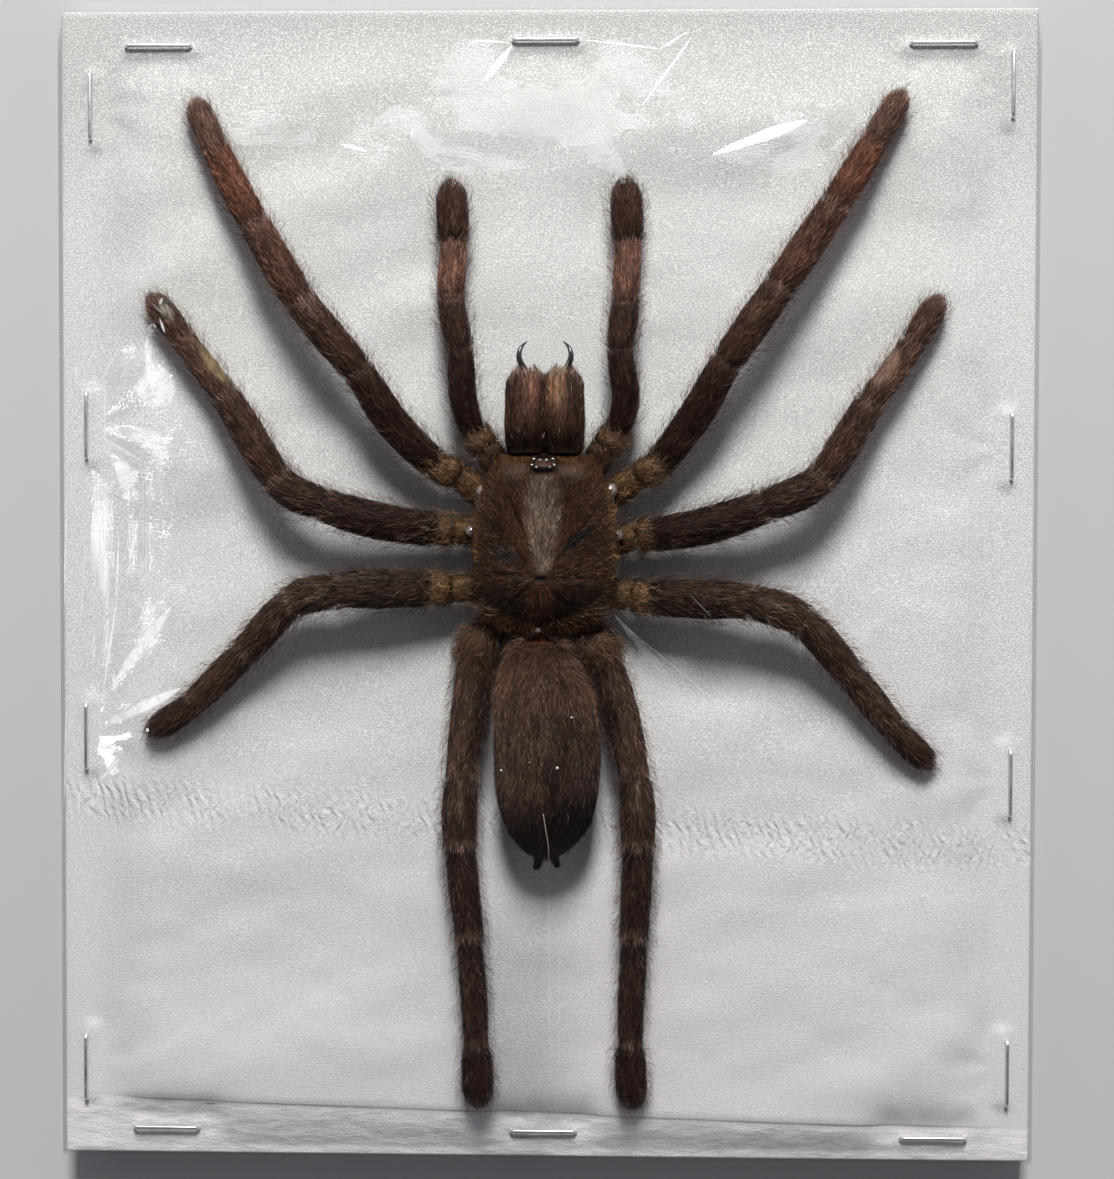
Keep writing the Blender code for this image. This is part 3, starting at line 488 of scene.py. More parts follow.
def film_material():
    """Clear cellophane: it only adds a reflection, which grows towards grazing."""
    n = Nodes("film")
    facing = n.add("LayerWeight", "Facing", Blend=0.5)
    share = n.range(n.math("POWER", facing, 4.0), 0.0, 1.0, 0.009, 0.9)
    ripple = n.bump(n.noise(500, 3, 0.65, n.place(1.0, 2.2, 1.0)), 0.09, 0.0002)
    gloss = n.add("BsdfAnisotropic", Color=(1, 1, 1), Roughness=0.022, Normal=ripple)
    clear = n.add("BsdfTransparent", Color=(0.985, 0.985, 0.985))
    return n.finish(n.add("MixShader", i0=share, i1=clear, i2=gloss))


def painted_glint_material():
    """Film painted white along its glints and scratches, as much as its own tint says: mostly painted
    highlight.
    """
    n = Nodes("film_painted_glint")
    amount = n.add("Attribute", "Color", {"attribute_name": "hue"})
    share = n.times(amount, n.range(n.noise(900, 2, 0.6), 0.35, 0.55, 0.65, 1.0))
    white = n.add("BsdfPrincipled", Base_Color=(0.97, 0.97, 0.97), Roughness=0.5, IOR=2.4)
    return n.finish(n.add("MixShader", i0=share, i1=n.add("BsdfTransparent"), i2=white))


def staple_material():
    n = Nodes("staple_wire")
    drawn = n.noise(2500, 3, 0.6, n.place(0.2, 0.2, 1.0))
    rough = n.range(drawn, 0.3, 0.7, 0.34, 0.5)
    return n.surface(Base_Color=(0.80, 0.81, 0.82), Metallic=1.0, Roughness=rough,
                     Normal=n.bump(drawn, 0.15, 0.00003))


def skin_material():
    """Cuticle with a short lying coat: coloured by its tint, streaked along its grain, faintly glossy."""
    n = Nodes("cuticle_skin")
    tint = n.add("Attribute", "Color", {"attribute_name": "hue"})
    grain = n.add("TexCoord", "UV")
    streaks = n.noise(1.0, 3, 0.65, n.add("Mapping", Vector=grain, Scale=(1.3, 13.0, 1.0)))
    wisps = n.noise(1.0, 2, 0.6, n.add("Mapping", Vector=grain, Scale=(0.5, 2.2, 1.0)))
    shade = n.times(n.range(streaks, 0.32, 0.68, 0.35, 1.75), n.range(wisps, 0.3, 0.7, 0.65, 1.35))
    shade = n.times(shade, n.range(n.noise(450, 3, 0.6), 0.3, 0.7, 0.8, 1.2))
    return n.surface(Base_Color=n.mix(1.0, tint, shade, "MULTIPLY"), Specular_IOR_Level=0.14,
                     Roughness=n.range(streaks, 0.3, 0.7, 0.38, 0.6), Normal=n.bump(streaks, 0.6, 0.0001))


def hair_material():
    n = Nodes("coat_hair")
    tint = n.add("Attribute", "Color", {"attribute_name": "hue"})
    return n.surface(Base_Color=tint, Roughness=0.45, Specular_IOR_Level=0.22)


def clouded(name, lumps, first, second, **gloss):
    """A material that drifts between two colours in lumps of noise."""
    n = Nodes(name)
    return n.surface(Base_Color=n.mix(n.noise(*lumps), first, second), **gloss)


TISSUE, CARD, WADDING, FILM = cover_material(), card_material(), wadding_material(), film_material()
STAPLE, SKIN, HAIR, PAINTED_GLINT = staple_material(), skin_material(), hair_material(), painted_glint_material()
FANG = clouded("fang_horn", (500, 3, 0.6), (0.012, 0.012, 0.014), (0.05, 0.045, 0.045), Roughness=0.22,
               Coat_Weight=0.4)
EYE = clouded("eye_lens", (900, 2, 0.5), (0.02, 0.012, 0.008), (0.08, 0.05, 0.03), Roughness=0.16, IOR=2.4,
              Coat_Weight=1.0)
KNOB = clouded("knob", (700, 2, 0.5), srgb(96, 74, 60), srgb(146, 136, 130), Roughness=0.2, IOR=2.2,
               Coat_Weight=1.0)
FLOOR = clouded("floor", (8, 2, 0.5), (0.50, 0.50, 0.505), (0.53, 0.53, 0.53), Roughness=0.7)

# ---------------------------------------------------------------- the board's surfaces

FILM_LOW, FILM_HIGH = box_of("clear_film")
COVER_LOW, COVER_HIGH = box_of("tissue_cover")
HALF_WIDTH, HALF_HEIGHT = FILM_HIGH[0], FILM_HIGH[1]
STAPLE_BOXES = {node: box_of(node) for node in sorted(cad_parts) if node.startswith("staple_")}
PAD_RISE = COVER_HIGH[2] - COVER_EDGE


def staple_distance(x, y):
    """Distance to the nearest staple's crown, and the angle round it."""
    nearest, turn = np.full(np.shape(x), 1e9), np.zeros(np.shape(x))
    for low, high in STAPLE_BOXES.values():
        distance = np.hypot(x - np.clip(x, low[0], high[0]), y - np.clip(y, low[1], high[1]))
        closer = distance < nearest
        turn = np.where(closer, np.arctan2(y - (low[1] + high[1]) / 2, x - (low[0] + high[0]) / 2), turn)
        nearest = np.minimum(nearest, distance)
    return nearest, turn


def cover_height(x, y):
    """Top of the tissue: a soft pad that drops at its hem, with dimples at the staples, and folds."""
    foot = HEM_Y + HEM_SLOPE * x
    sides = ramp(HALF_WIDTH - np.abs(x), 3.0, 13.0)
    head = ramp(HALF_HEIGHT - y, 1.0, 17.0)
    slope = 0.88 * ramp(y, -HALF_HEIGHT + 0.6, foot - 0.4) ** 0.6 + 0.12 * ramp(y, foot - 0.9, foot)
    rise = sides * head * slope
    distance, turn = staple_distance(x, y)
    pinch = np.exp(-((distance / 3.2) ** 2))
    folds = 0.38 * noise(x, y, (30, 14), 1) + 0.30 * noise(x + 0.6 * y, y - 0.5 * x, (26, 7), 2)
    folds += 0.17 * noise(x - 0.3 * y, y, (11, 5), 6) + 0.05 * noise(x, y, (4, 2.6), 3)
    creases = 0.24 * np.cos(7 * turn + 1.3) * np.exp(-distance / 5.0) * ramp(distance, 0.3, 2.0)
    folds = (folds + creases) * np.minimum(rise * 1.6, 1) * (0.3 + 0.7 * ramp(y - foot, 0.0, 9.0))
    height = COVER_EDGE + PAD_RISE * rise * (1 - 0.75 * pinch) + folds
    height = np.maximum(height, COVER_EDGE + STAPLE_BED * np.exp(-((distance / 0.9) ** 2)))
    return np.minimum(height, COVER_HIGH[2] + 0.45)


def sheet_lines(step):
    """Grid lines across and along the board, a number of steps that halves twice."""
    halves = (HALF_WIDTH, HALF_HEIGHT)
    return [np.linspace(-half, half, 4 * round(2 * half / step / 4) + 1) for half in halves]


def add_wrapped_sheet(name, top, lines, inset, bottom, margin, material):
    """A sheet with this top, which turns down over the board's sides and is folded in under its back."""
    radius = TURNED_RADIUS
    half = HALF_WIDTH - inset, HALF_HEIGHT - inset
    scale = (half[0] - radius) / HALF_WIDTH, (half[1] - radius) / HALF_HEIGHT
    x, y = np.meshgrid(lines[0] * scale[0], lines[1] * scale[1])
    points = [np.stack([x, y, top], -1).reshape(-1, 3)]
    rim = rim_of(np.arange(top.size).reshape(top.shape))
    faces = [grid_faces(*top.shape)]
    edge = points[0][rim]
    edge_top = edge[:, 2].copy()
    rings = ((0.3 * radius, edge_top - 0.3 * radius), (0.0, edge_top - radius), (0.0, bottom + radius),
             (0.3 * radius, bottom + 0.3 * radius), (radius, bottom), (margin / 2, bottom), (margin, bottom))
    before, start = rim, top.size
    for reach, height in rings:
        ragged = 0.5 * noise(edge[:, 0], edge[:, 1], 9, 5) if reach == margin else 0.0
        ring = edge.copy()
        for axis in (0, 1):
            ring[:, axis] *= (half[axis] - reach + ragged) / (half[axis] - radius)
        ring[:, 2] = height
        points.append(ring)
        after = start + np.arange(len(rim))
        faces.append(band(before, after))
        before, start = after, start + len(rim)
    return add_mesh(name, np.concatenate(points), faces, material)


def add_cover():
    lines = sheet_lines(COVER_STEP)
    top = cover_height(*np.meshgrid(*lines))
    inset = HALF_WIDTH - COVER_HIGH[0]
    cover = add_wrapped_sheet("tissue_paper", top, lines, inset, COVER_LOW[2], COVER_MARGIN, TISSUE)
    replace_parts(cover, "tissue_cover")


def add_wadding():
    """The pad: a soft slab with a crowned top and pressed edges, closed under the tissue."""
    low, high = box_of("wadding")
    x, y = np.meshgrid(np.linspace(low[0], high[0], 57), np.linspace(low[1], high[1], 69))
    top = np.maximum(np.minimum(cover_height(x, y) - 0.45, high[2]), low[2] + 0.15)
    points = np.concatenate([np.stack([x, y, z], -1).reshape(-1, 3) for z in (top, np.full_like(x, low[2]))])
    upper = grid_faces(*x.shape)
    rim = rim_of(np.arange(x.size).reshape(x.shape))
    faces = [upper, upper[:, ::-1] + x.size, band(rim, rim + x.size)]
    pad = add_mesh("wadding_pad", points, faces, WADDING)
    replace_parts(pad, "wadding")


# ---------------------------------------------------------------- the specimen's surfaces


class Surface:
    """A closed skin given as a function of (u along it, turn round it)."""

    def __init__(self, at, u_range, outward=1, scale=(8.0, 2.0)):
        """The scale is about how many millimetres a step of u and of turn is."""
        self.at, self.u_range, self.outward, self.scale = at, u_range, outward, scale

    def frame(self, u, turn):
        """Points, outward normals, directions along u, and area for each step of u and turn."""
        step = 1e-3
        low, high = np.clip(u - step, *self.u_range), np.clip(u + step, *self.u_range)
        along = (self.at(high, turn) - self.at(low, turn)) / (high - low)[:, None]
        around = (self.at(u, turn + step) - self.at(u, turn - step)) / (2 * step)
        normal = np.cross(along, around)
        return self.at(u, turn), unit(normal) * self.outward, unit(along), np.linalg.norm(normal, axis=1)

    def scatter(self, density, rng, keep):
        """Random (u, turn), so many for each square millimetre, times keep(points, normals) if given."""
        u, turn = np.meshgrid(np.linspace(*self.u_range, 240), np.linspace(0, TURN, 48))
        most = self.frame(u.ravel(), turn.ravel())[3].max()
        tries = int(density * most * (self.u_range[1] - self.u_range[0]) * TURN)
        u, turn = rng.uniform(*self.u_range, tries), rng.uniform(0, TURN, tries)
        points, normals, _, area = self.frame(u, turn)
        kept = rng.random(tries) < area / most * (keep(points, normals) if keep else 1.0)
        return u[kept], turn[kept]

    def mesh(self, us, count):
        """Points and faces of the skin, with both ends closed."""
        u, turn = (values.ravel() for values in np.meshgrid(us, turns(count), indexing="ij"))
        points = self.at(u, turn)
        faces = grid_faces(len(us), count, around=True)
        if self.outward > 0:
            faces = faces[:, ::-1]
        ends = []
        for first in (0, (len(us) - 1) * count):
            centre = len(points)
            points = np.vstack([points, points[first:first + count].mean(0)])
            ring = first + np.arange(count)
            fan = np.stack([ring, np.roll(ring, -1), np.full(count, centre)], 1)
            ends.append(fan if (first == 0) == (self.outward > 0) else fan[:, ::-1])
        return points, [faces, *ends], u, turn


def with_ends(values, last=UNSEEN):
    """Values of a skin's points, and the same one for the centres of both its ends."""
    return np.vstack([values, np.full((2, values.shape[1]), last)])


def sideways(slope):
    """Directions across and above a tube, from its slope."""
    heading = unit(slope)
    across = unit(np.cross(heading, (0.0, 0.0, 1.0)))
    return across, np.cross(across, heading)


def limb_segments(name):
    """Each segment's name, the joints where it starts and ends, its width and its coat's colour."""
    kind = name.rsplit("_", 1)[0]
    names = [segment for segment in SEGMENTS if kind != "palp" or segment != "metatarsus"]
    return list(zip(names, SEGMENT_JOINTS, SEGMENT_JOINTS[1:], LIMB_WIDTHS[kind], COATS[kind]))


def limb_half_width(name, places):
    """Half width of a limb's skin: each segment comes out of the one before it, swells and ends in a lip."""
    half = np.zeros(len(places))
    for segment, start, end, width, _ in limb_segments(name):
        t = (places - start) / (end - start)
        inside = (t >= 0) & (t <= 1)
        t = np.clip(t, 0, 1)
        slim, plump = SHAPES[segment]
        shape = slim + (1 - slim) * np.sin(math.pi * t**plump) ** 0.7 - 0.14 * np.exp(-t / 0.035)
        shape += 0.05 * bell(t, 0.95, 0.035) - 0.05 * bell(t, 1.0, 0.02)
        if segment == "tarsus":
            shape = shape * np.sqrt(np.clip(1 - (np.clip(t - 0.55, 0, 1) / 0.46) ** 2, 0.0, 1))
        if segment in ("coxa", "trochanter"):
            coat = -0.1 if name[:5] in ("leg_1", "leg_2", "leg_3") else -0.35
        else:
            coat = COAT + 0.12 * name.startswith("palp")
        half = np.where(inside, shape * (width / 2 - coat), half)
    return np.maximum(half, 0.05)


def limb_surface(name):
    joints = np.array(LIMB_JOINTS[name])
    height = np.minimum(joints[:, 2], LYING_HEIGHT + ARCH_SHARE * (joints[:, 2] - LYING_HEIGHT))
    share = (SIGHTED_FROM[2] - height) / (SIGHTED_FROM[2] - joints[:, 2])
    joints = SIGHTED_FROM + (joints - SIGHTED_FROM) * share[:, None]

    def at(places, turn):
        middle, slope = curve(joints, places)
        across, up = sideways(slope)
        half = limb_half_width(name, places)[:, None]
        c, s = np.cos(turn)[:, None], np.sin(turn)[:, None]
        return middle + across * half * c + up * half * LIMB_FLATNESS * s

    return Surface(at, (0.0, len(joints) - 1.0))


def reach_by_angle(offset):
    """Angles and distances of a loop of points, repeated at both ends as np.interp needs them."""
    angle, reach = np.arctan2(offset[:, 1], offset[:, 0]) % TURN, np.hypot(offset[:, 0], offset[:, 1])
    order = np.argsort(angle)
    angle, reach = angle[order], reach[order]
    return (np.concatenate([[angle[-1] - TURN], angle, [angle[0] + TURN]]),
            np.concatenate([[reach[-1]], reach, [reach[0]]]))


def carapace_brim():
    outline, _ = curve(CARAPACE_OUTLINE, np.linspace(0, len(CARAPACE_OUTLINE) - 1, 200))
    front = np.linspace(outline[-1], outline[0], 40)[1:-1]
    return reach_by_angle(np.concatenate([outline, front]) - FOVEA)


BRIM = carapace_brim()


def outline_distance(turn):
    """Distance from the fovea to the carapace's brim in a direction."""
    return np.interp(turn % TURN, *BRIM)


def carapace_point(share, turn):
    """The dome at a share of the way from the fovea to the brim."""
    reach = outline_distance(turn) * share
    x, y = FOVEA[0] + reach * np.cos(turn), FOVEA[1] + reach * np.sin(turn)
    fall = CARAPACE_FALL + 1.8 * CARAPACE_FRONT * np.maximum(0, np.sin(turn)) ** 6
    dome = CARAPACE_BRIM[1] + CARAPACE_CROWN * (1 - share**fall)
    grooves = 0.20 * np.sin(math.pi * np.clip(share * 1.1, 0, 1)) ** 2
    grooves = grooves * np.maximum(np.cos(8 * turn + 0.4), 0) ** 6
    neck = 0.35 * bell(np.abs(x - FOVEA[0]) - 0.42 * np.maximum(y - FOVEA[1], 0), 0.0, 0.55)
    neck = neck * ramp(y, 1.5, 4.0) * ramp(15.0 - y, 0.0, 5.0)
    pit = 0.45 * np.exp(-(((x + 0.1) / 0.8) ** 2) - ((y - 1.5) / 0.4) ** 2)
    eyes = 0.9 * np.exp(-(((x - EYES[0]) / 1.6) ** 4) - ((y - EYES[1]) / 1.0) ** 4)
    texture = 0.05 * noise(x, y, 0.9, 11) + 0.07 * noise(x, y, 2.2, 12)
    return np.stack([x, y, dome - grooves - neck - pit + eyes + texture - 0.25], 1)


def abdomen_point(places, turn):
    section, _ = curve(ABDOMEN_SECTIONS, places)
    y, x, half_width, z, half_height = section.T
    soft = 1 + 0.012 * noise(turn * 4, y, (1.5, 3.0), 21) * ramp(places, 2, 3)
    coat = 0.3 * ramp(places, 1.4, 2.4) + 0.1
    return np.stack([x + (half_width * soft - coat) * np.cos(turn), y,
                     z + (half_height * soft - coat) * np.sin(turn)], 1)


def jaw_surface(side):
    def at(places, turn):
        section, _ = curve(JAW_SECTIONS, places)
        y, half_width, z, half_height = section.T
        c, s = np.cos(turn), np.sin(turn)
        reach = squared(c, s, JAW_SQUARENESS)
        y = y - 0.35 * (1 - ramp(places, 0.0, 0.5))
        half_height = half_height - 0.7 * (1 - ramp(places, 0.0, 0.7))
        inner = (JAW_PITCH - 0.03 - half_width) * ramp(27.8 - y, 0.0, 1.5)
        half_width = half_width + np.where(c * side < 0, inner, -0.1 - 0.35 * ramp(y, 25.5, 28.0))
        return np.stack([JAW_MIDDLE + side * JAW_PITCH + half_width * c * reach, y,
                         z + (half_height - 0.25) * s * reach], 1)

    return Surface(at, (0.0, len(JAW_SECTIONS) - 1.0), scale=(2.6, 3.0))


def route_surface(route, radii):
    """A round tapered horn along a route."""
    def at(places, turn):
        middle, slope = curve(route, places)
        across, up = sideways(slope)
        radius, _ = curve([(r,) for r in radii], places)
        return middle + radius * (across * np.cos(turn)[:, None] + up * np.sin(turn)[:, None])

    return Surface(at, (0.0, len(route) - 1.0))


LIMBS = {name: limb_surface(name) for name in LIMB_JOINTS}
CARAPACE = Surface(carapace_point, (0.02, 1.0), scale=(10.0, 7.0))
ABDOMEN = Surface(abdomen_point, (0.0, len(ABDOMEN_SECTIONS) - 1.0), outward=-1, scale=(2.8, 6.0))
JAWS = {"chelicera_left": jaw_surface(-1), "chelicera_right": jaw_surface(1)}

# ---------------------------------------------------------------- the film


def widened(heights):
    """Each height raised to the highest of its eight neighbours."""
    padded = np.pad(heights, 1, mode="edge")
    rows, columns = heights.shape
    return np.max([padded[j:j + rows, i:i + columns] for j in range(3) for i in range(3)], axis=0)


def beside(heights):
    """The sum of the four neighbours of each height that isn't at the edge."""
    return heights[:-2, 1:-1] + heights[2:, 1:-1] + heights[1:-1, :-2] + heights[1:-1, 2:]


def blurred(heights, rounds):
    for _ in range(rounds):
        heights = (beside(np.pad(heights, 1, mode="edge")) + 4 * heights) / 8
    return heights


def specimen_heights(xs, ys):
    """The highest point of the specimen's coat in each cell of a grid, or 0."""
    heights = np.zeros((len(ys), len(xs)))
    coated = [(limb, COAT) for limb in LIMBS.values()] + [(jaw, 0.3) for jaw in JAWS.values()]
    for surface, coat in (*coated, (CARAPACE, 0.3), (ABDOMEN, 0.6)):
        us, angles = np.linspace(*surface.u_range, 500), np.linspace(0, TURN, 60)
        points = surface.at(*(values.ravel() for values in np.meshgrid(us, angles)))
        i = np.round((points[:, 0] - xs[0]) / (xs[1] - xs[0])).astype(int)
        j = np.round((points[:, 1] - ys[0]) / (ys[1] - ys[0])).astype(int)
        np.maximum.at(heights, (j, i), points[:, 2] + coat)
    return widened(heights)


def taut(held, fixed, rounds):
    """A stretched sheet over what holds it up, as heights on grids that are made finer in two steps."""
    sheet = held[::4, ::4].copy()
    for step in (4, 2, 1):
        under, still = held[::step, ::step], fixed[::step, ::step]
        if step < 4:
            finer = np.empty_like(under)
            finer[::2, ::2] = sheet
            finer[1::2, ::2] = (finer[:-1:2, ::2] + finer[2::2, ::2]) / 2
            finer[:, 1::2] = (finer[:, :-1:2] + finer[:, 2::2]) / 2
            sheet = np.maximum(finer, under)
        under, still = under[1:-1, 1:-1], still[1:-1, 1:-1]
        for _ in range(rounds):
            sheet[1:-1, 1:-1] = np.where(still, under, np.maximum(beside(sheet) / 4, under))
    return sheet


class Film:
    """The film's height on a grid, and between its points."""

    def __init__(self, step):
        self.xs, self.ys = sheet_lines(step)
        x, y = np.meshgrid(self.xs, self.ys)
        floor = np.maximum(cover_height(x, y) + FILM_GAP, FILM_EDGE - 0.1)
        edge = np.minimum(HALF_WIDTH - np.abs(x), HALF_HEIGHT - np.abs(y))
        distance, turn = staple_distance(x, y)
        fixed = (edge < 3.6) | (distance < 0.8)
        specimen = specimen_heights(self.xs, self.ys)
        sheet = taut(np.maximum(floor, specimen), fixed, TAUT_ROUNDS)
        sheet = np.where(fixed, floor, np.maximum(blurred(sheet, 5), specimen - 0.1))
        slack = ramp(sheet - np.maximum(floor, specimen), 0.1, 1.2)
        wrinkles = 0.10 * noise(x, y, (13, 8), 31) + 0.05 * noise(x, y, (4.5, 3.5), 32)
        wrinkles += ramp(y, 45, 55) * (0.12 * np.abs(noise(x + 0.5 * y, y, (14, 8), 34))
                                       + 0.04 * np.abs(noise(x, y - 0.3 * x, (6, 3.4), 35)))
        left = ramp(-x, 47, 56) * 0.10 * noise(x, y, (1.3, 22), 33)
        pulls = 0.12 * np.cos(9 * turn) * np.exp(-distance / 6.0) * ramp(distance, 0.8, 3.0)
        self.heights = np.maximum(sheet + slack * (wrinkles + left + pulls), floor)
        self.heights = np.minimum(self.heights, FILM_HIGH[2] - 0.02)

    def at(self, x, y):
        u = np.clip((x - self.xs[0]) / (self.xs[1] - self.xs[0]), 0, len(self.xs) - 1.001)
        v = np.clip((y - self.ys[0]) / (self.ys[1] - self.ys[0]), 0, len(self.ys) - 1.001)
        i, j = u.astype(int), v.astype(int)
        a, b = u - i, v - j
        h = self.heights
        low = h[j, i] * (1 - a) + h[j, i + 1] * a
        high = h[j + 1, i] * (1 - a) + h[j + 1, i + 1] * a
        return low * (1 - b) + high * b


FILM_SHEET = Film(FILM_STEP)


def skip_indirect(sheet):
    """Lets light between the other pieces through a clear sheet at once, which saves much time."""
    sheet.visible_shadow = sheet.visible_diffuse = sheet.visible_glossy = False


def add_film():
    lines = FILM_SHEET.xs, FILM_SHEET.ys
    top = FILM_SHEET.heights
    film = add_wrapped_sheet("cellophane", top, lines, 0.0, FILM_LOW[2], FILM_MARGIN, FILM)
    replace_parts(film, "clear_film")
    skip_indirect(film)
    add_painted_glints()
    return film


def on_board(u, v, height):
    """Where a pixel of the photo, counted from its upper left corner, shows the board at a height."""
    way = np.array(mathutils.Euler(CAMERA_TILT).to_matrix()) @ (
        (u - PHOTO_WIDTH / 2) / FOCAL_PIXELS, (PHOTO_HEIGHT / 2 - v) / FOCAL_PIXELS, -1.0)
    return (np.array(CAMERA_PLACE) + way * (height - CAMERA_PLACE[2]) / way[2])[:2]


def film_place(u, v):
    """The film's point that a pixel of the photo shows."""
    return on_board(u, v, FILM_SHEET.at(*on_board(u, v, 7.5)))


def add_painted_glints():
    """Lens-shaped strips that lie on the film, clear along both their edges and painted white between them as
    glints and scratches.
    """
    points, faces, hues, start = [], [], [], 0
    for number, (u_from, v_from, u_to, v_to, half_width, amount) in enumerate(FILM_GLINTS_AND_SCRATCHES):
        first, last = film_place(u_from, v_from), film_place(u_to, v_to)
        length = math.dist(first, last)
        t = np.linspace(0.01, 0.99, max(8, round(length / 0.6)))
        aside = np.array((first[1] - last[1], last[0] - first[0])) / length
        uneven = 1 + 0.25 * noise(t * length, np.full(len(t), number), 1.3, 36)
        edge = half_width * np.sin(math.pi * t) ** 0.7 * uneven
        waver = 0.12 * noise(t * length, number + 9.5, 7.0, 37)
        middle = first + (last - first) * t[:, None] + aside * waver[:, None]
        across = np.array((-1.0, -0.5, 0.5, 1.0))
        flat = (middle[:, None] + (edge[:, None] * across)[:, :, None] * aside).reshape(-1, 2)
        points.append(np.column_stack([flat, FILM_SHEET.at(*flat.T) + 0.05]))
        faces.append(start + grid_faces(len(t), 4))
        hues.append(np.tile(np.array((0.0, 1.0, 1.0, 0.0)) * amount, len(t)))
        start += len(flat)
    hues = np.repeat(np.concatenate(hues)[:, None], 3, axis=1)
    skip_indirect(add_mesh("film_painted_glints", np.concatenate(points), faces, PAINTED_GLINT, hues))


# ---------------------------------------------------------------- hair


class Hair:
    """Gathers blades of hair, and makes them one mesh."""

    def __init__(self, seed):
        self.rng = np.random.default_rng(seed)
        self.parts = []

    def grow(self, surface, density, length, lift, width, tint, sway=0.2, keep=None, curl=0.5, pale=PALE):
        """Hair on a skin: density is a number for each square millimetre, lift is in degrees from the skin.

        The first number of pale is the share of hairs lighter than the rest, and the second is by how much.
        """
        rng = self.rng
        u, turn = surface.scatter(density * (1.0), rng, keep)
        root, normal, along, _ = surface.frame(u, turn)
        side = np.cross(normal, along)
        along = unit(along + side * rng.normal(0, sway, (len(u), 1)))
        tilt = np.radians(np.clip(rng.normal(lift, lift * 0.4, len(u)), 4, 85))[:, None]
        size = (length * rng.uniform(0.6, 1.35, len(u)))[:, None]
        rising = along * np.cos(tilt) + normal * np.sin(tilt)
        flat = tilt * (1 - curl)
        falling = along * np.cos(flat) + normal * np.sin(flat)
        middle = root + rising * size * 0.5
        tip = middle + unit(falling) * size * 0.5
        for points in (middle, tip):
            floor = cover_height(points[:, 0], points[:, 1]) + 0.06
            roof = np.maximum(FILM_SHEET.at(points[:, 0], points[:, 1]) - 0.05, root[:, 2] + 0.04)
            points[:, 2] = np.clip(points[:, 2], floor, np.maximum(roof, floor))
        roll = unit(np.cross(rising, rng.normal(0, 1, (len(u), 3))))
        thick = (width * rng.uniform(0.7, 1.3, len(u)))[:, None] / 2
        strands = noise(u * surface.scale[0], turn * surface.scale[1], (1.7, 0.22), 46)
        tone = rng.uniform(0.25, 0.75, len(u)) * (1 + 0.45 * strands)
        # Pale hairs: partly the coat's own, partly painted glints.
        light = rng.random(len(u)) < pale[0] * (1 + 0.8 * strands)
        hues = tint(u, turn, root) * np.where(light, tone * pale[1], tone)[:, None]
        self.parts.append((root - normal * HAIR_SINK, middle, tip, roll * thick, hues))

    def build(self, name):
        points, faces, hues, start = [], [], [], 0
        for root, middle, tip, half, colours in self.parts:
            a, b, c, d = (start + len(root) * k + np.arange(len(root)) for k in range(4))
            faces += [np.stack([a, b, c], 1), np.stack([b, d, c], 1)]
            points += [root, middle - half, middle + half, tip]
            hues += [colours * shade for shade in HAIR_SHADES]
            start += 4 * len(root)
        add_mesh(name, np.concatenate(points), faces, HAIR, np.concatenate(hues), smooth=False)


def seen_more(points, normals):
    """More hair where it can be seen: above and at the sides."""
    return 0.15 + 0.85 * ramp(normals[:, 2], -0.5, 0.1)


def at_sides(points, normals):
    """Hair that stands out beside a limb, more than above it."""
    return 0.02 + ramp(normals[:, 2], -0.7, -0.2) * (0.35 + 0.65 * ramp(0.9 - normals[:, 2], 0.0, 0.6))


def spot_reach(points, x, y, heading, half_length, half_width):
    """How far points are from a spot's middle: 1 at its edge, seen from above."""
    c, s = math.cos(math.radians(heading)), math.sin(math.radians(heading))
    dx, dy = points[:, 0] - x, points[:, 1] - y
    return np.hypot((dx * c + dy * s) / half_length, (dy * c - dx * s) / half_width)


def fringe_tint(tint):
    """The colour of long hairs that grow out of a coat: paler than it, and more even."""
    return lambda u, turn, points: 0.45 * tint(u, turn, points) + 0.55 * srgb(122, 94, 76)


# ---------------------------------------------------------------- limbs


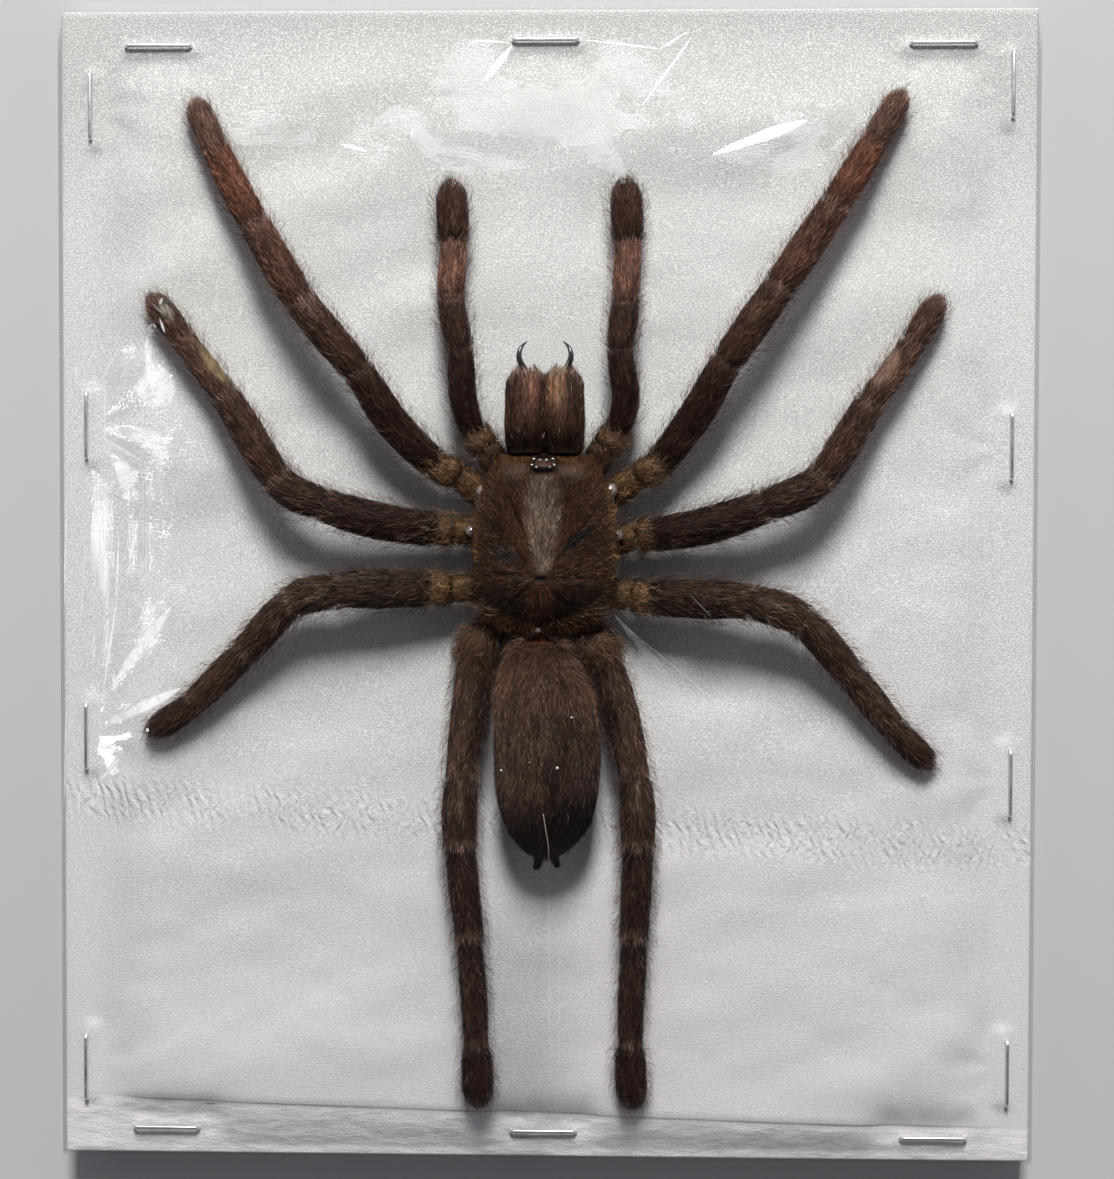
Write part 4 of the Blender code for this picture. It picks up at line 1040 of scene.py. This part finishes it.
def limb_tint(name):
    def tint(places, turn, points):
        hue = np.zeros((len(places), 3))
        for segment, start, end, _, colour in limb_segments(name):
            t = (places - start) / (end - start)
            inside = (t >= 0) & (t <= 1)
            t = t + 0.02 * noise(turn * 4, places, 1.0, 43)
            tone = 0.75 + 0.3 * ramp(t, 0.0, 0.25) - 0.4 * bell(t, 1.0, 0.015) - 0.35 * bell(t, 0.0, 0.04)
            if segment in ("coxa", "trochanter"):
                tone = tone * (1 + 0.5 * noise(places * 5, turn * 2.5, 1.0, 44))
                # Painted shade and light: coxa and trochanter are darker at their starts, where each meets
                # the body or the coxa, and lighter on top than beneath; the dark band at their ends is the
                # joint's own colour.
                tone = tone * (1 - 0.8 * bell(t, 0.0, 0.13))
                tone = tone * (0.4 + 0.75 * ramp(np.sin(turn), 0.0, 0.95)) * (1 - 0.6 * bell(t, 1.0, 0.08))
            if segment in ("patella", "tibia"):
                stripe = bell(turn, math.pi / 2 + 0.35, 0.12) + bell(turn, math.pi / 2 - 0.35, 0.12)
                tone = tone + 0.45 * stripe * ramp(t, 0.1, 0.3) * ramp(0.9 - t, 0.0, 0.3)
            mottle = 0.22 * noise(places * 9, turn * 3, 1.0, 41)
            tone = tone * (1 + mottle + 0.15 * noise(places * 3, turn, 1.0, 42))
            ring = RING_SHARES.get(segment, 0.0) * bell(t, 0.94, 0.05)
            ring = ring * (0.8 + 0.5 * noise(turn * 2, places, 1.0, 45))
            shade = toward(coat_colour(colour) * tone[:, None], srgb(*RING), ring)
            hue = np.where(inside[:, None], shade, hue)
        # Painted shade: limbs are darkened just outside the carapace's brim, where it shades them; less so on
        # the hind legs.
        offset = points[:, :2] - FOVEA
        beyond = np.hypot(*offset.T) - outline_distance(np.arctan2(offset[:, 1], offset[:, 0]))
        shade_by_carapace = 0.2 if name.startswith("leg_4") else 0.8
        hue = hue * (1 - shade_by_carapace * bell(beyond, 0.2, 0.7))[:, None]
        for limb, *place, colour, share in SPOTS_AND_GLINT:
            if limb == name:
                spot = share * ramp(1.25 - spot_reach(points, *place), 0.0, 0.5) * (np.sin(turn) > -0.2)
                hue = toward(hue, srgb(*colour), spot)
        return hue

    return tint


def bald(name, points):
    """Up to 0.9 inside a limb's strongest spots, where hair is rubbed off, and 0 elsewhere."""
    share = np.zeros(len(points))
    for limb, *place, _, amount in SPOTS_AND_GLINT:
        if limb == name and amount > 0.75:
            share = np.maximum(share, 0.9 * ramp(1.15 - spot_reach(points, *place), 0.0, 0.3))
    return share


def limb_grain(surface, u, turn):
    """A place along and round a limb in millimetres, with its seam underneath."""
    steps = np.linspace(*surface.u_range, 400)
    middle = (surface.at(steps, np.zeros(400)) + surface.at(steps, np.full(400, math.pi))) / 2
    length = np.concatenate([[0], np.cumsum(np.linalg.norm(np.diff(middle, axis=0), axis=1))])
    return np.stack([np.interp(u, steps, length), (turn + math.pi / 2) % TURN * 2.0], 1)


def add_limb(name, seed):
    surface, tint = LIMBS[name], limb_tint(name)
    steps = 0.5 - 0.5 * np.cos(math.pi * np.linspace(0, 1, SEGMENT_STEPS + 1)[:-1])
    us = np.concatenate([start + (end - start) * steps for _, start, end, _, _ in limb_segments(name)])
    points, faces, u, turn = surface.mesh(np.append(us, surface.u_range[1]), LIMB_SIDES)
    shown = 0.6 + 0.4 * bald(name, points[:-2])[:, None]
    hues = with_ends(tint(u, turn, points[:-2]) * shown)
    grain = with_ends(limb_grain(surface, u, turn), 0.0)
    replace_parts(add_mesh(f"{name}_skin", points, faces, SKIN, hues, grain), name)
    knee = surface.at(np.array([2.0]), np.array([0.0]))[0]

    def inner(points, more=0.3):
        return np.linalg.norm(points[:, :2], axis=1) < np.linalg.norm(knee[:2]) + more

    def outer_coat(points, normals):
        return seen_more(points, normals) * ~inner(points, -0.7) * (1 - bald(name, points))

    def inner_coat(points, normals):
        return seen_more(points, normals) * inner(points)

    def by_body(points, normals):
        near = ramp(4.5 - np.linalg.norm(points - knee, axis=1), 0.0, 1.5)
        return seen_more(points, normals) * near * inner(points, 0.4)

    hair = Hair(seed)
    hair.grow(surface, 42, 1.4, 12, 0.043, tint, keep=outer_coat, curl=0.8, pale=(0.26, 3.8))
    hair.grow(surface, 26, 1.2, 20, 0.045, tint, keep=inner_coat, curl=1.6, sway=0.7, pale=(0.2, 4.0))
    hair.grow(surface, 7, 2.8, 42, 0.042, fringe_tint(tint), keep=at_sides, curl=1.0, sway=0.4,
              pale=(0.4, 1.6))
    if name.startswith("leg_4"):
        side = 1 if name.endswith("left") else -1

        def toward_abdomen(points, normals):
            inside = normals[:, 0] * side > 0.3
            return inside * ramp(points[:, 1], -24.0, -15.0) * ramp(-points[:, 1], 6.0, 8.0)

        hair.grow(surface, 44, 2.6, 40, 0.045, plain(srgb(114, 86, 66)), keep=by_body, curl=1.3, sway=1.0,
                  pale=(0.35, 2.0))
        hair.grow(surface, 26, 2.6, 50, 0.05, plain(srgb(52, 37, 31)), keep=toward_abdomen, curl=1.0,
                  sway=0.8)
    else:
        hair.grow(surface, 10, 1.9, 40, 0.034, plain(srgb(150, 122, 90)), keep=by_body, curl=1.3, sway=1.0,
                  pale=(0.35, 2.0))
    hair.build(f"{name}_hair")


# ---------------------------------------------------------------- the front body


def carapace_tint(share, turn, points):
    x, y = points[:, 0], points[:, 1]

    def blend(hue, colour, amount):
        return toward(hue, coat_colour(colour), np.clip(amount, 0, 1))

    hue = coat_colour((60, 38, 24)) * (1 + 0.25 * noise(x, y, 2.5, 52) + 0.15 * noise(x, y, 0.8, 53))[:, None]
    hue = blend(hue, (70, 45, 23), 0.75 * ramp(y, 13.0, 14.5))
    hue = blend(hue, (104, 78, 48), 0.6 * ramp(share, 0.86, 0.98) * ramp(14.0 - y, 0, 2) * ramp(y, -1.0, 2.0))
    hue = blend(hue, (34, 22, 18), 0.75 * ramp(-y, -1.6, 0.4) * ramp(np.abs(x + 0.4), 0.8, 2.4))
    hue = blend(hue, (66, 42, 30), 0.5 * ramp(-y, -0.5, 1.0) * ramp(1.6 - np.abs(x + 0.4), 0.0, 0.8))
    grooves = np.maximum(np.cos(8 * turn + 0.4), 0) ** 8 * ramp(share, 0.1, 0.3) * ramp(0.9 - share, 0, 0.3)
    hue = blend(hue, (32, 22, 18), 0.5 * grooves)
    half = np.interp(y, (1.6, 4.0, 9.0, 12.0, 13.5, 15.2), (0.4, 1.2, 2.3, 2.2, 1.6, 1.0))
    lance = ramp(half + 0.6 - np.abs(x - 0.1), 0.0, 1.4) * ramp(y, 1.4, 3.0) * ramp(15.6 - y, 0.0, 1.2)
    strokes = noise(turn * 7, share * 9, (0.22, 1.5), 51) + 0.5 * noise(x, y, 0.7, 54)
    hue = blend(hue, (132, 116, 101), lance * (0.55 + 0.4 * strokes))
    for *place, colour, amount in CARAPACE_SPOTS:
        hue = blend(hue, colour, amount * ramp(1.2 - spot_reach(points, *place), 0.0, 0.4))
    return hue


def front_body_underside(dome, rim_start, count):
    """Points and faces from the dome's brim down its sides to a closed underside between the legs' roots."""
    half = np.array(STERNUM_HALF)
    under = np.concatenate([half, half[::-1] * (-1, 1)])
    under, _ = curve(under, np.linspace(0, len(under) - 1, 160))
    rim = dome[rim_start:rim_start + count]
    angle = np.arctan2(rim[:, 1] - STERNUM_MIDDLE[1], rim[:, 0] - STERNUM_MIDDLE[0]) % TURN
    reach = np.interp(angle, *reach_by_angle(under - STERNUM_MIDDLE))
    rings = [rim - (0, 0, 0.3)]
    for z, inset in ((CARAPACE_BRIM[0], 0.0), (STERNUM_BOTTOM + 1.0, 0.0), (STERNUM_BOTTOM, 1.2)):
        x = STERNUM_MIDDLE[0] + (reach - inset) * np.cos(angle)
        y = STERNUM_MIDDLE[1] + (reach - inset) * np.sin(angle)
        rings.append(np.stack([x, y, np.full(count, z)], 1))
    faces, start = [], len(dome)
    before = rim_start + np.arange(count)
    for _ in rings:
        after = start + np.arange(count)
        faces.append(band(before, after))
        before, start = after, start + count
    faces.append(np.stack([before, np.full(count, start), np.roll(before, -1)], 1))
    return [*rings, np.array([[*STERNUM_MIDDLE, STERNUM_BOTTOM]])], faces


def dome_coat(points, normals):
    """The carapace's coat: none on the eyes' mound, and thin in front."""
    reach = np.hypot((points[:, 0] - EYES[0]) / 1.8, (points[:, 1] - EYES[1]) / 1.1)
    return ramp(reach, 0.9, 1.1) * (1 - 0.85 * ramp(points[:, 1], 13.2, 14.6))


def at_brim(points, normals):
    x, y = points[:, 0] - FOVEA[0], points[:, 1] - FOVEA[1]
    near = ramp(np.hypot(x, y) / outline_distance(np.arctan2(y, x)), 0.78, 0.95)
    more_behind = 0.06 + 0.94 * ramp(-points[:, 1], 0.0, 3.0)
    waist = (np.abs(points[:, 0] + 0.3) < 0.9) & (points[:, 1] < -3.0)
    return near * more_behind * ramp(13.0 - points[:, 1], 0.0, 2.0) * ~waist


def over_waist(points, normals):
    aside = ramp(np.abs(points[:, 0] + 0.3), 0.9, 1.3)
    return at_brim(points, normals) * ramp(-points[:, 1], 1.8, 2.8) * aside


def add_cephalothorax():
    """The front body: the dome, its brim, and the underside between the legs' roots."""
    count, shares = 120, np.append(np.linspace(0.02, 0.9, 44), np.linspace(0.92, 1.0, 7))
    points, faces, u, turn = CARAPACE.mesh(shares, count)
    dome, faces = points[:-1], faces[:2]  # without the mesh's open outer end
    more_points, more_faces = front_body_underside(dome, (len(shares) - 1) * count, count)
    points = np.concatenate([dome, *more_points])
    seen = dome[:len(u)]
    hues = np.full((len(points), 3), 0.02)
    shown = 0.65 - 0.2 * ramp(seen[:, 1], 13.0, 14.6)
    hues[:len(u)] = carapace_tint(u, turn, seen) * shown[:, None]
    grain = np.zeros((len(points), 2))
    grain[:len(u)] = np.stack([u * outline_distance(turn), turn * 6.0], 1)
    skin = add_mesh("cephalothorax_skin", points, faces + more_faces, SKIN, hues, grain)
    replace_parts(skin, "cephalothorax")
    hair = Hair(61)
    brim = srgb(84, 62, 44)
    hair.grow(CARAPACE, 48, 0.9, 8, 0.04, carapace_tint, keep=dome_coat, curl=0.6, sway=0.25,
              pale=(0.22, 5.0))
    hair.grow(CARAPACE, 90, 2.2, 16, 0.05, plain(brim), keep=at_brim, curl=1.6, sway=0.5, pale=(0.3, 1.8))
    # Painted light: the hairs over the waist are coloured brighter than the brim's, to make up for the shade
    # they lie in.
    hair.grow(CARAPACE, 110, 3.8, 12, 0.05, plain(2.4 * brim), keep=over_waist, curl=2.0, sway=0.7,
              pale=(0.3, 2.4))
    hair.build("cephalothorax_hair")
    add_balls("eyes", [eye_place(side * dx, dy, radius) for dx, dy, radius in EYE_PAIRS for side in (-1, 1)],
              EYE)
    add_balls("coxa_knobs", COXA_KNOBS, KNOB)


def eye_place(dx, dy, radius):
    """Where an eye of the mound lies, a little proud of the dome."""
    x, y = EYES[0] + dx - FOVEA[0], EYES[1] + dy - FOVEA[1]
    turn = np.array([math.atan2(y, x)])
    place = carapace_point(np.hypot(x, y) / outline_distance(turn), turn)[0] + (0, 0, 0.03)
    return (*place, radius)


def add_balls(name, balls, material, rings=8, count=12):
    """Small balls given by x, y, z and radius, as one mesh."""
    polar, turn = np.meshgrid(np.linspace(0.15, math.pi - 0.15, rings), turns(count), indexing="ij")
    ball = np.stack([np.sin(polar) * np.cos(turn), np.sin(polar) * np.sin(turn), np.cos(polar)], -1)
    ball = ball.reshape(-1, 3)
    points = np.concatenate([np.array(place) + radius * ball for *place, radius in balls])
    faces = [number * len(ball) + grid_faces(rings, count, around=True) for number in range(len(balls))]
    add_mesh(name, points, faces, material)


# ---------------------------------------------------------------- the rear body


def abdomen_tint(places, turn, points):
    x, y, z = points.T
    front, middle, rear, dark = map(coat_colour, ((74, 52, 38), (66, 50, 42), (24, 14, 12), (9, 5, 4)))
    hue = toward(front, middle, ramp(-y, 11.0, 18.0))
    hue = toward(hue, rear, ramp(-y + 0.25 * x, 23.0, 31.0))
    # Painted shade: a near-black patch on the tail end's right side.
    hue = toward(hue, dark, 0.85 * bell(x, 4.0, 2.6) * bell(y, -28.0, 4.0))
    light = 1 + 0.25 * noise(x, y, (1.2, 3.5), 71) + 0.2 * noise(x, y, 3.0, 72)
    # Painted sheen: lighter along the top of the abdomen, just left of its middle.
    light += 0.2 * bell(x, -1.0, 3.0) * ramp(z, 16, 19)
    # Painted sheen: the abdomen's shoulders are lighter.
    shoulder = ramp(np.abs(x - 0.2), 3.0, 5.5) * bell(y, -13.0, 4.0)
    middle_line = ramp(4.0 - np.abs(x), 0.0, 3.0) * ramp(y, -16, -11)
    hue = hue * (light * (1 + 0.7 * shoulder - 0.25 * middle_line))[:, None]
    return toward(hue, srgb(150, 56, 34), (1 - ramp(-y, 6.4, 7.0)) * ramp(0.9 - np.abs(x + 0.3), 0.0, 0.5))


# Painted light: the abdomen's hair is brightened towards its tail, which faces away from the lamp.
def rear_with_painted_light(places, turn, points):
    light = 1 + 0.5 * ramp(-points[:, 1], 22.0, 30.0) + ramp(-points[:, 1], 30.0, 34.0)
    return abdomen_tint(places, turn, points) * light[:, None]


def velvet(points, normals):
    return seen_more(points, normals) * ramp(-points[:, 1], 6.7, 7.3)


def shoulders(points, normals):
    return velvet(points, normals) * (0.15 + ramp(16.0 + points[:, 1], 0.0, 6.0))


def forward(points, normals):
    aside = ramp(np.abs(points[:, 0] + 0.4), 1.3, 1.8)
    return ramp(points[:, 1], -8.2, -7.2) * (normals[:, 2] > -0.3) * aside


def add_abdomen():
    points, faces, u, turn = ABDOMEN.mesh(np.linspace(0, len(ABDOMEN_SECTIONS) - 1, 90), 64)
    parts, all_faces = [points], list(faces)
    hues = [with_ends(abdomen_tint(u, turn, points[:-2]) * 0.6)]
    grain = [np.stack([points[:, 1], np.append(turn * 6.0, [0, 0])], 1)]
    horns = []
    for root, tip, radius in SPINNERETS:
        middle = tuple((np.array(root) + tip) / 2)
        horn = route_surface((root, middle, tip), (radius, 0.95 * radius, 0.6 * radius))
        horns.append(horn)
        points, faces, _, _ = horn.mesh(np.linspace(0, 2, 12), 12)
        start = sum(len(part) for part in parts)
        all_faces += [start + part for part in faces]
        parts.append(points)
        hues.append(np.full((len(points), 3), 0.015))
        grain.append(points[:, :2])
    skin = add_mesh("abdomen_skin", np.concatenate(parts), all_faces, SKIN, np.concatenate(hues),
                    np.concatenate(grain))
    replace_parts(skin, "abdomen")
    hair = Hair(81)
    hair.grow(ABDOMEN, 105, 1.25, 17, 0.036, rear_with_painted_light, keep=velvet, curl=0.6, sway=0.28, pale=(0.3, 3.6))
    hair.grow(ABDOMEN, 50, 2.0, 50, 0.042, fringe_tint(abdomen_tint), keep=forward, curl=0.9, sway=1.2)
    hair.grow(ABDOMEN, 12, 1.9, 40, 0.032, fringe_tint(abdomen_tint), keep=shoulders, curl=0.7, sway=0.4,
              pale=(0.5, 1.5))
    for horn in horns:
        hair.grow(horn, 30, 0.5, 20, 0.04, plain((0.02, 0.02, 0.02)))
    hair.build("abdomen_hair")
    add_flecks()


def add_flecks():
    """Specks of white dust on the abdomen, and one long pale bristle at its end."""
    flecks = [(x, y, FILM_SHEET.at(x, y) - 0.3, radius) for x, y, radius in DUST]
    add_balls("dust", flecks, TISSUE, 5, 8)
    route = [(x, y, FILM_SHEET.at(x, y) - drop) for x, y, drop in BRISTLE]
    points, faces, _, _ = route_surface(route, (0.07, 0.07, 0.06, 0.03)).mesh(np.linspace(0, 3, 24), 6)
    add_mesh("bristle", points, faces, HAIR, np.tile(srgb(176, 158, 146), (len(points), 1)))


# ---------------------------------------------------------------- jaws


def jaw_tint(places, turn, points):
    x, y = points[:, 0], points[:, 1]
    hue = np.tile(coat_colour((58, 38, 30)), (len(x), 1))
    for middle_x, middle_y, colour in ((-1.5, 25.2, (132, 92, 76)), (1.9, 25.3, (146, 112, 84))):
        patch = bell(x, middle_x, 0.95) * bell(y, middle_y, 2.3) * ramp(np.sin(turn), 0.0, 0.8)
        hue = toward(hue, coat_colour(colour), patch)
    # Painted shade: the jaws darken towards their roots, under the front edge of the carapace.
    tone = (1 + 0.3 * noise(x, y, (0.35, 3.0), 91)) * (0.45 + 0.55 * ramp(y, 18.0, 21.0))
    return hue * tone[:, None]


def jaw_front(points, normals):
    return seen_more(points, normals) * (0.05 + ramp(points[:, 1], 26.0, 28.0))


def add_jaw(name, seed):
    surface = JAWS[name]
    points, faces, u, turn = surface.mesh(np.linspace(0, len(JAW_SECTIONS) - 1, 48), 48)
    hues = with_ends(jaw_tint(u, turn, points[:-2]) * 0.8)
    grain = np.stack([points[:, 1], np.append(turn * 3.0, [0, 0])], 1)
    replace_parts(add_mesh(f"{name}_skin", points, faces, SKIN, hues, grain), name)
    hair = Hair(seed)
    hair.grow(surface, 60, 1.5, 7, 0.042, jaw_tint, keep=seen_more, curl=0.6, sway=0.1, pale=(0.24, 4.2))
    hair.grow(surface, 16, 1.6, 24, 0.03, plain(srgb(150, 132, 116)), keep=jaw_front, sway=0.3)
    hair.build(f"{name}_hair")


def add_fang(name, side):
    route = [(-side * (x - JAW_MIDDLE) + JAW_MIDDLE, y, z) for x, y, z in FANG_ROUTE]
    points, faces, _, _ = route_surface(route, FANG_RADII).mesh(np.linspace(0, 3, 40), 20)
    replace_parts(add_mesh(f"{name}_horn", points, faces, FANG), name)


# ---------------------------------------------------------------- staples and card


def add_staple(node):
    """One staple of flattened wire, with round bends, in the place of its CAD solid."""
    low, high = STAPLE_BOXES[node]
    width, length = sorted(high[:2] - low[:2])
    half, shoulder = length / 2 - width / 2, high[2] - width / 2 - STAPLE_BEND
    route = [(-half, low[2]), (-half, shoulder)]
    route += [(-half + STAPLE_BEND * (1 - math.cos(a)), shoulder + STAPLE_BEND * math.sin(a))
              for a in np.linspace(0.2, math.pi / 2, 6)]
    route += [(-x, z) for x, z in reversed(route)]
    route = np.array(route)
    slope = unit(np.gradient(route, axis=0))
    side = np.stack([-slope[:, 1], slope[:, 0]], 1)
    count = 16
    turn = (np.arange(count) + 0.5) * TURN / count
    c, s = np.cos(turn), np.sin(turn)
    reach = squared(c, s, STAPLE_SQUARENESS) * width / 2
    along = route[:, None, 0] + side[:, None, 0] * (reach * s * 0.8)
    height = route[:, None, 1] + side[:, None, 1] * (reach * s * 0.8)
    across = np.broadcast_to(reach * c, along.shape)
    middle = (low + high) / 2
    if high[1] - low[1] > high[0] - low[0]:
        points = np.stack([middle[0] + across, middle[1] + along, height], -1)
    else:
        points = np.stack([middle[0] + along, middle[1] - across, height], -1)
    points = points.reshape(-1, 3)
    caps = [np.arange(count)[::-1][None], (len(points) - count + np.arange(count))[None]]
    faces = [grid_faces(len(route), count, around=True), *caps]
    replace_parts(add_mesh(node + "_wire", points, faces, STAPLE), node)


def finish_card():
    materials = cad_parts["backing_card"].data.materials
    materials.clear()
    materials.append(CARD)


# ---------------------------------------------------------------- stage


def add_object(name, data):
    made = bpy.data.objects.new(name, data)
    bpy.context.scene.collection.objects.link(made)
    return made


def add_camera():
    data = bpy.data.cameras.new("camera")
    data.sensor_width = SENSOR
    data.lens = FOCAL_PIXELS * SENSOR / PHOTO_HEIGHT
    data.clip_start = 0.01
    camera = add_object("camera", data)
    camera.location = [value * MM for value in CAMERA_PLACE]
    camera.rotation_euler = CAMERA_TILT
    bpy.context.scene.camera = camera


def add_area_light(name, place, target, size, radiance, colour, film, on_film):
    """A rectangular light of a given radiance, which lights either the film alone or all but the film."""
    data = bpy.data.lights.new(name, "AREA")
    data.shape = "RECTANGLE"
    data.size, data.size_y = (side * MM for side in size)
    data.energy, data.color = math.pi * data.size * data.size_y * radiance, colour
    light = add_object(name, data)
    light.location = [value * MM for value in place]
    aim = np.array(target, float) - place
    flat = math.hypot(aim[0], aim[1])
    light.rotation_euler = (math.atan2(flat, -aim[2]), 0.0, math.atan2(aim[1], aim[0]) - math.pi / 2)
    linked = bpy.data.collections.new(name + "_film")
    light.light_linking.receiver_collection = linked
    linked.objects.link(film)
    for link in linked.collection_objects:
        link.light_linking.link_state = "INCLUDE" if on_film else "EXCLUDE"


def add_glare_light(name, spot, tilt, size, radiance, colour, film):
    """A small light seen only as a glint at the spot: it stands off by tilts from upright, in degrees."""
    x, y = (math.radians(value) for value in tilt)
    way = unit(np.array((math.tan(x), math.tan(y), 1.0)))
    add_area_light(name, np.array(spot) + GLARE_DISTANCE * way, spot, size, radiance, colour, film, True)


def add_world():
    """Soft light from all round, with a dark patch overhead where the camera stands."""
    n = Nodes("studio", bpy.data.worlds, "OutputWorld")
    _, y, z = n.split(n.add("TexCoord", "Generated"))
    strength = n.times(n.range(z, 0.82, 0.62, 0.03, 0.46), n.range(y, -0.6, 0.4, 0.55, 1.2))
    bpy.context.scene.world = n.finish(n.add("Background", Color=(0.95, 0.90, 1.0), Strength=strength))


def add_stage():
    half = FLOOR_HALF * MM
    corners = [(x * half, y * half, -0.05 * MM) for x, y in ((-1, -1), (1, -1), (1, 1), (-1, 1))]
    mesh = bpy.data.meshes.new("floor")
    mesh.from_pydata(corners, [], [(0, 1, 2, 3)])
    mesh.materials.append(FLOOR)
    add_object("floor", mesh)
    add_world()
    bpy.context.scene.view_settings.view_transform = "Standard"


def add_lights(film):
    add_area_light("key", (25, 790, 680), (0, 5, 8), (210, 320), 66.0, (1.0, 0.99, 0.955), film, False)
    add_glare_light("top_glare", (-4, 60, 10), (-2.6, 44), (38, 50), 14.0, (0.93, 1.0, 0.99), film)
    add_glare_light("top_glint", (-2, 70, 8), (-1, 51), (16, 14), 16.0, (1.0, 1.0, 1.0), film)
    add_glare_light("left_glint", (-55, -5, 9), (-62, -3), (25, 63), 24.0, (1.0, 1.0, 1.0), film)
    add_glare_light("left_streaks", (-55, -5, 9), (-57.5, 2), (8, 79), 70.0, (1.0, 1.0, 1.0), film)
    add_glare_light("low_left_glint", (-57, -18, 8), (-66, -28), (63, 94), 45.0, (1.0, 1.0, 1.0), film)


# ---------------------------------------------------------------- everything

add_camera()
add_stage()
add_wadding()
add_cover()
finish_card()
for number, limb in enumerate(LIMB_JOINTS):
    add_limb(limb, 100 + number)
add_cephalothorax()
add_abdomen()
add_jaw("chelicera_left", 95)
add_jaw("chelicera_right", 96)
add_fang("fang_left", -1)
add_fang("fang_right", 1)
for staple_node in STAPLE_BOXES:
    add_staple(staple_node)
add_lights(add_film())
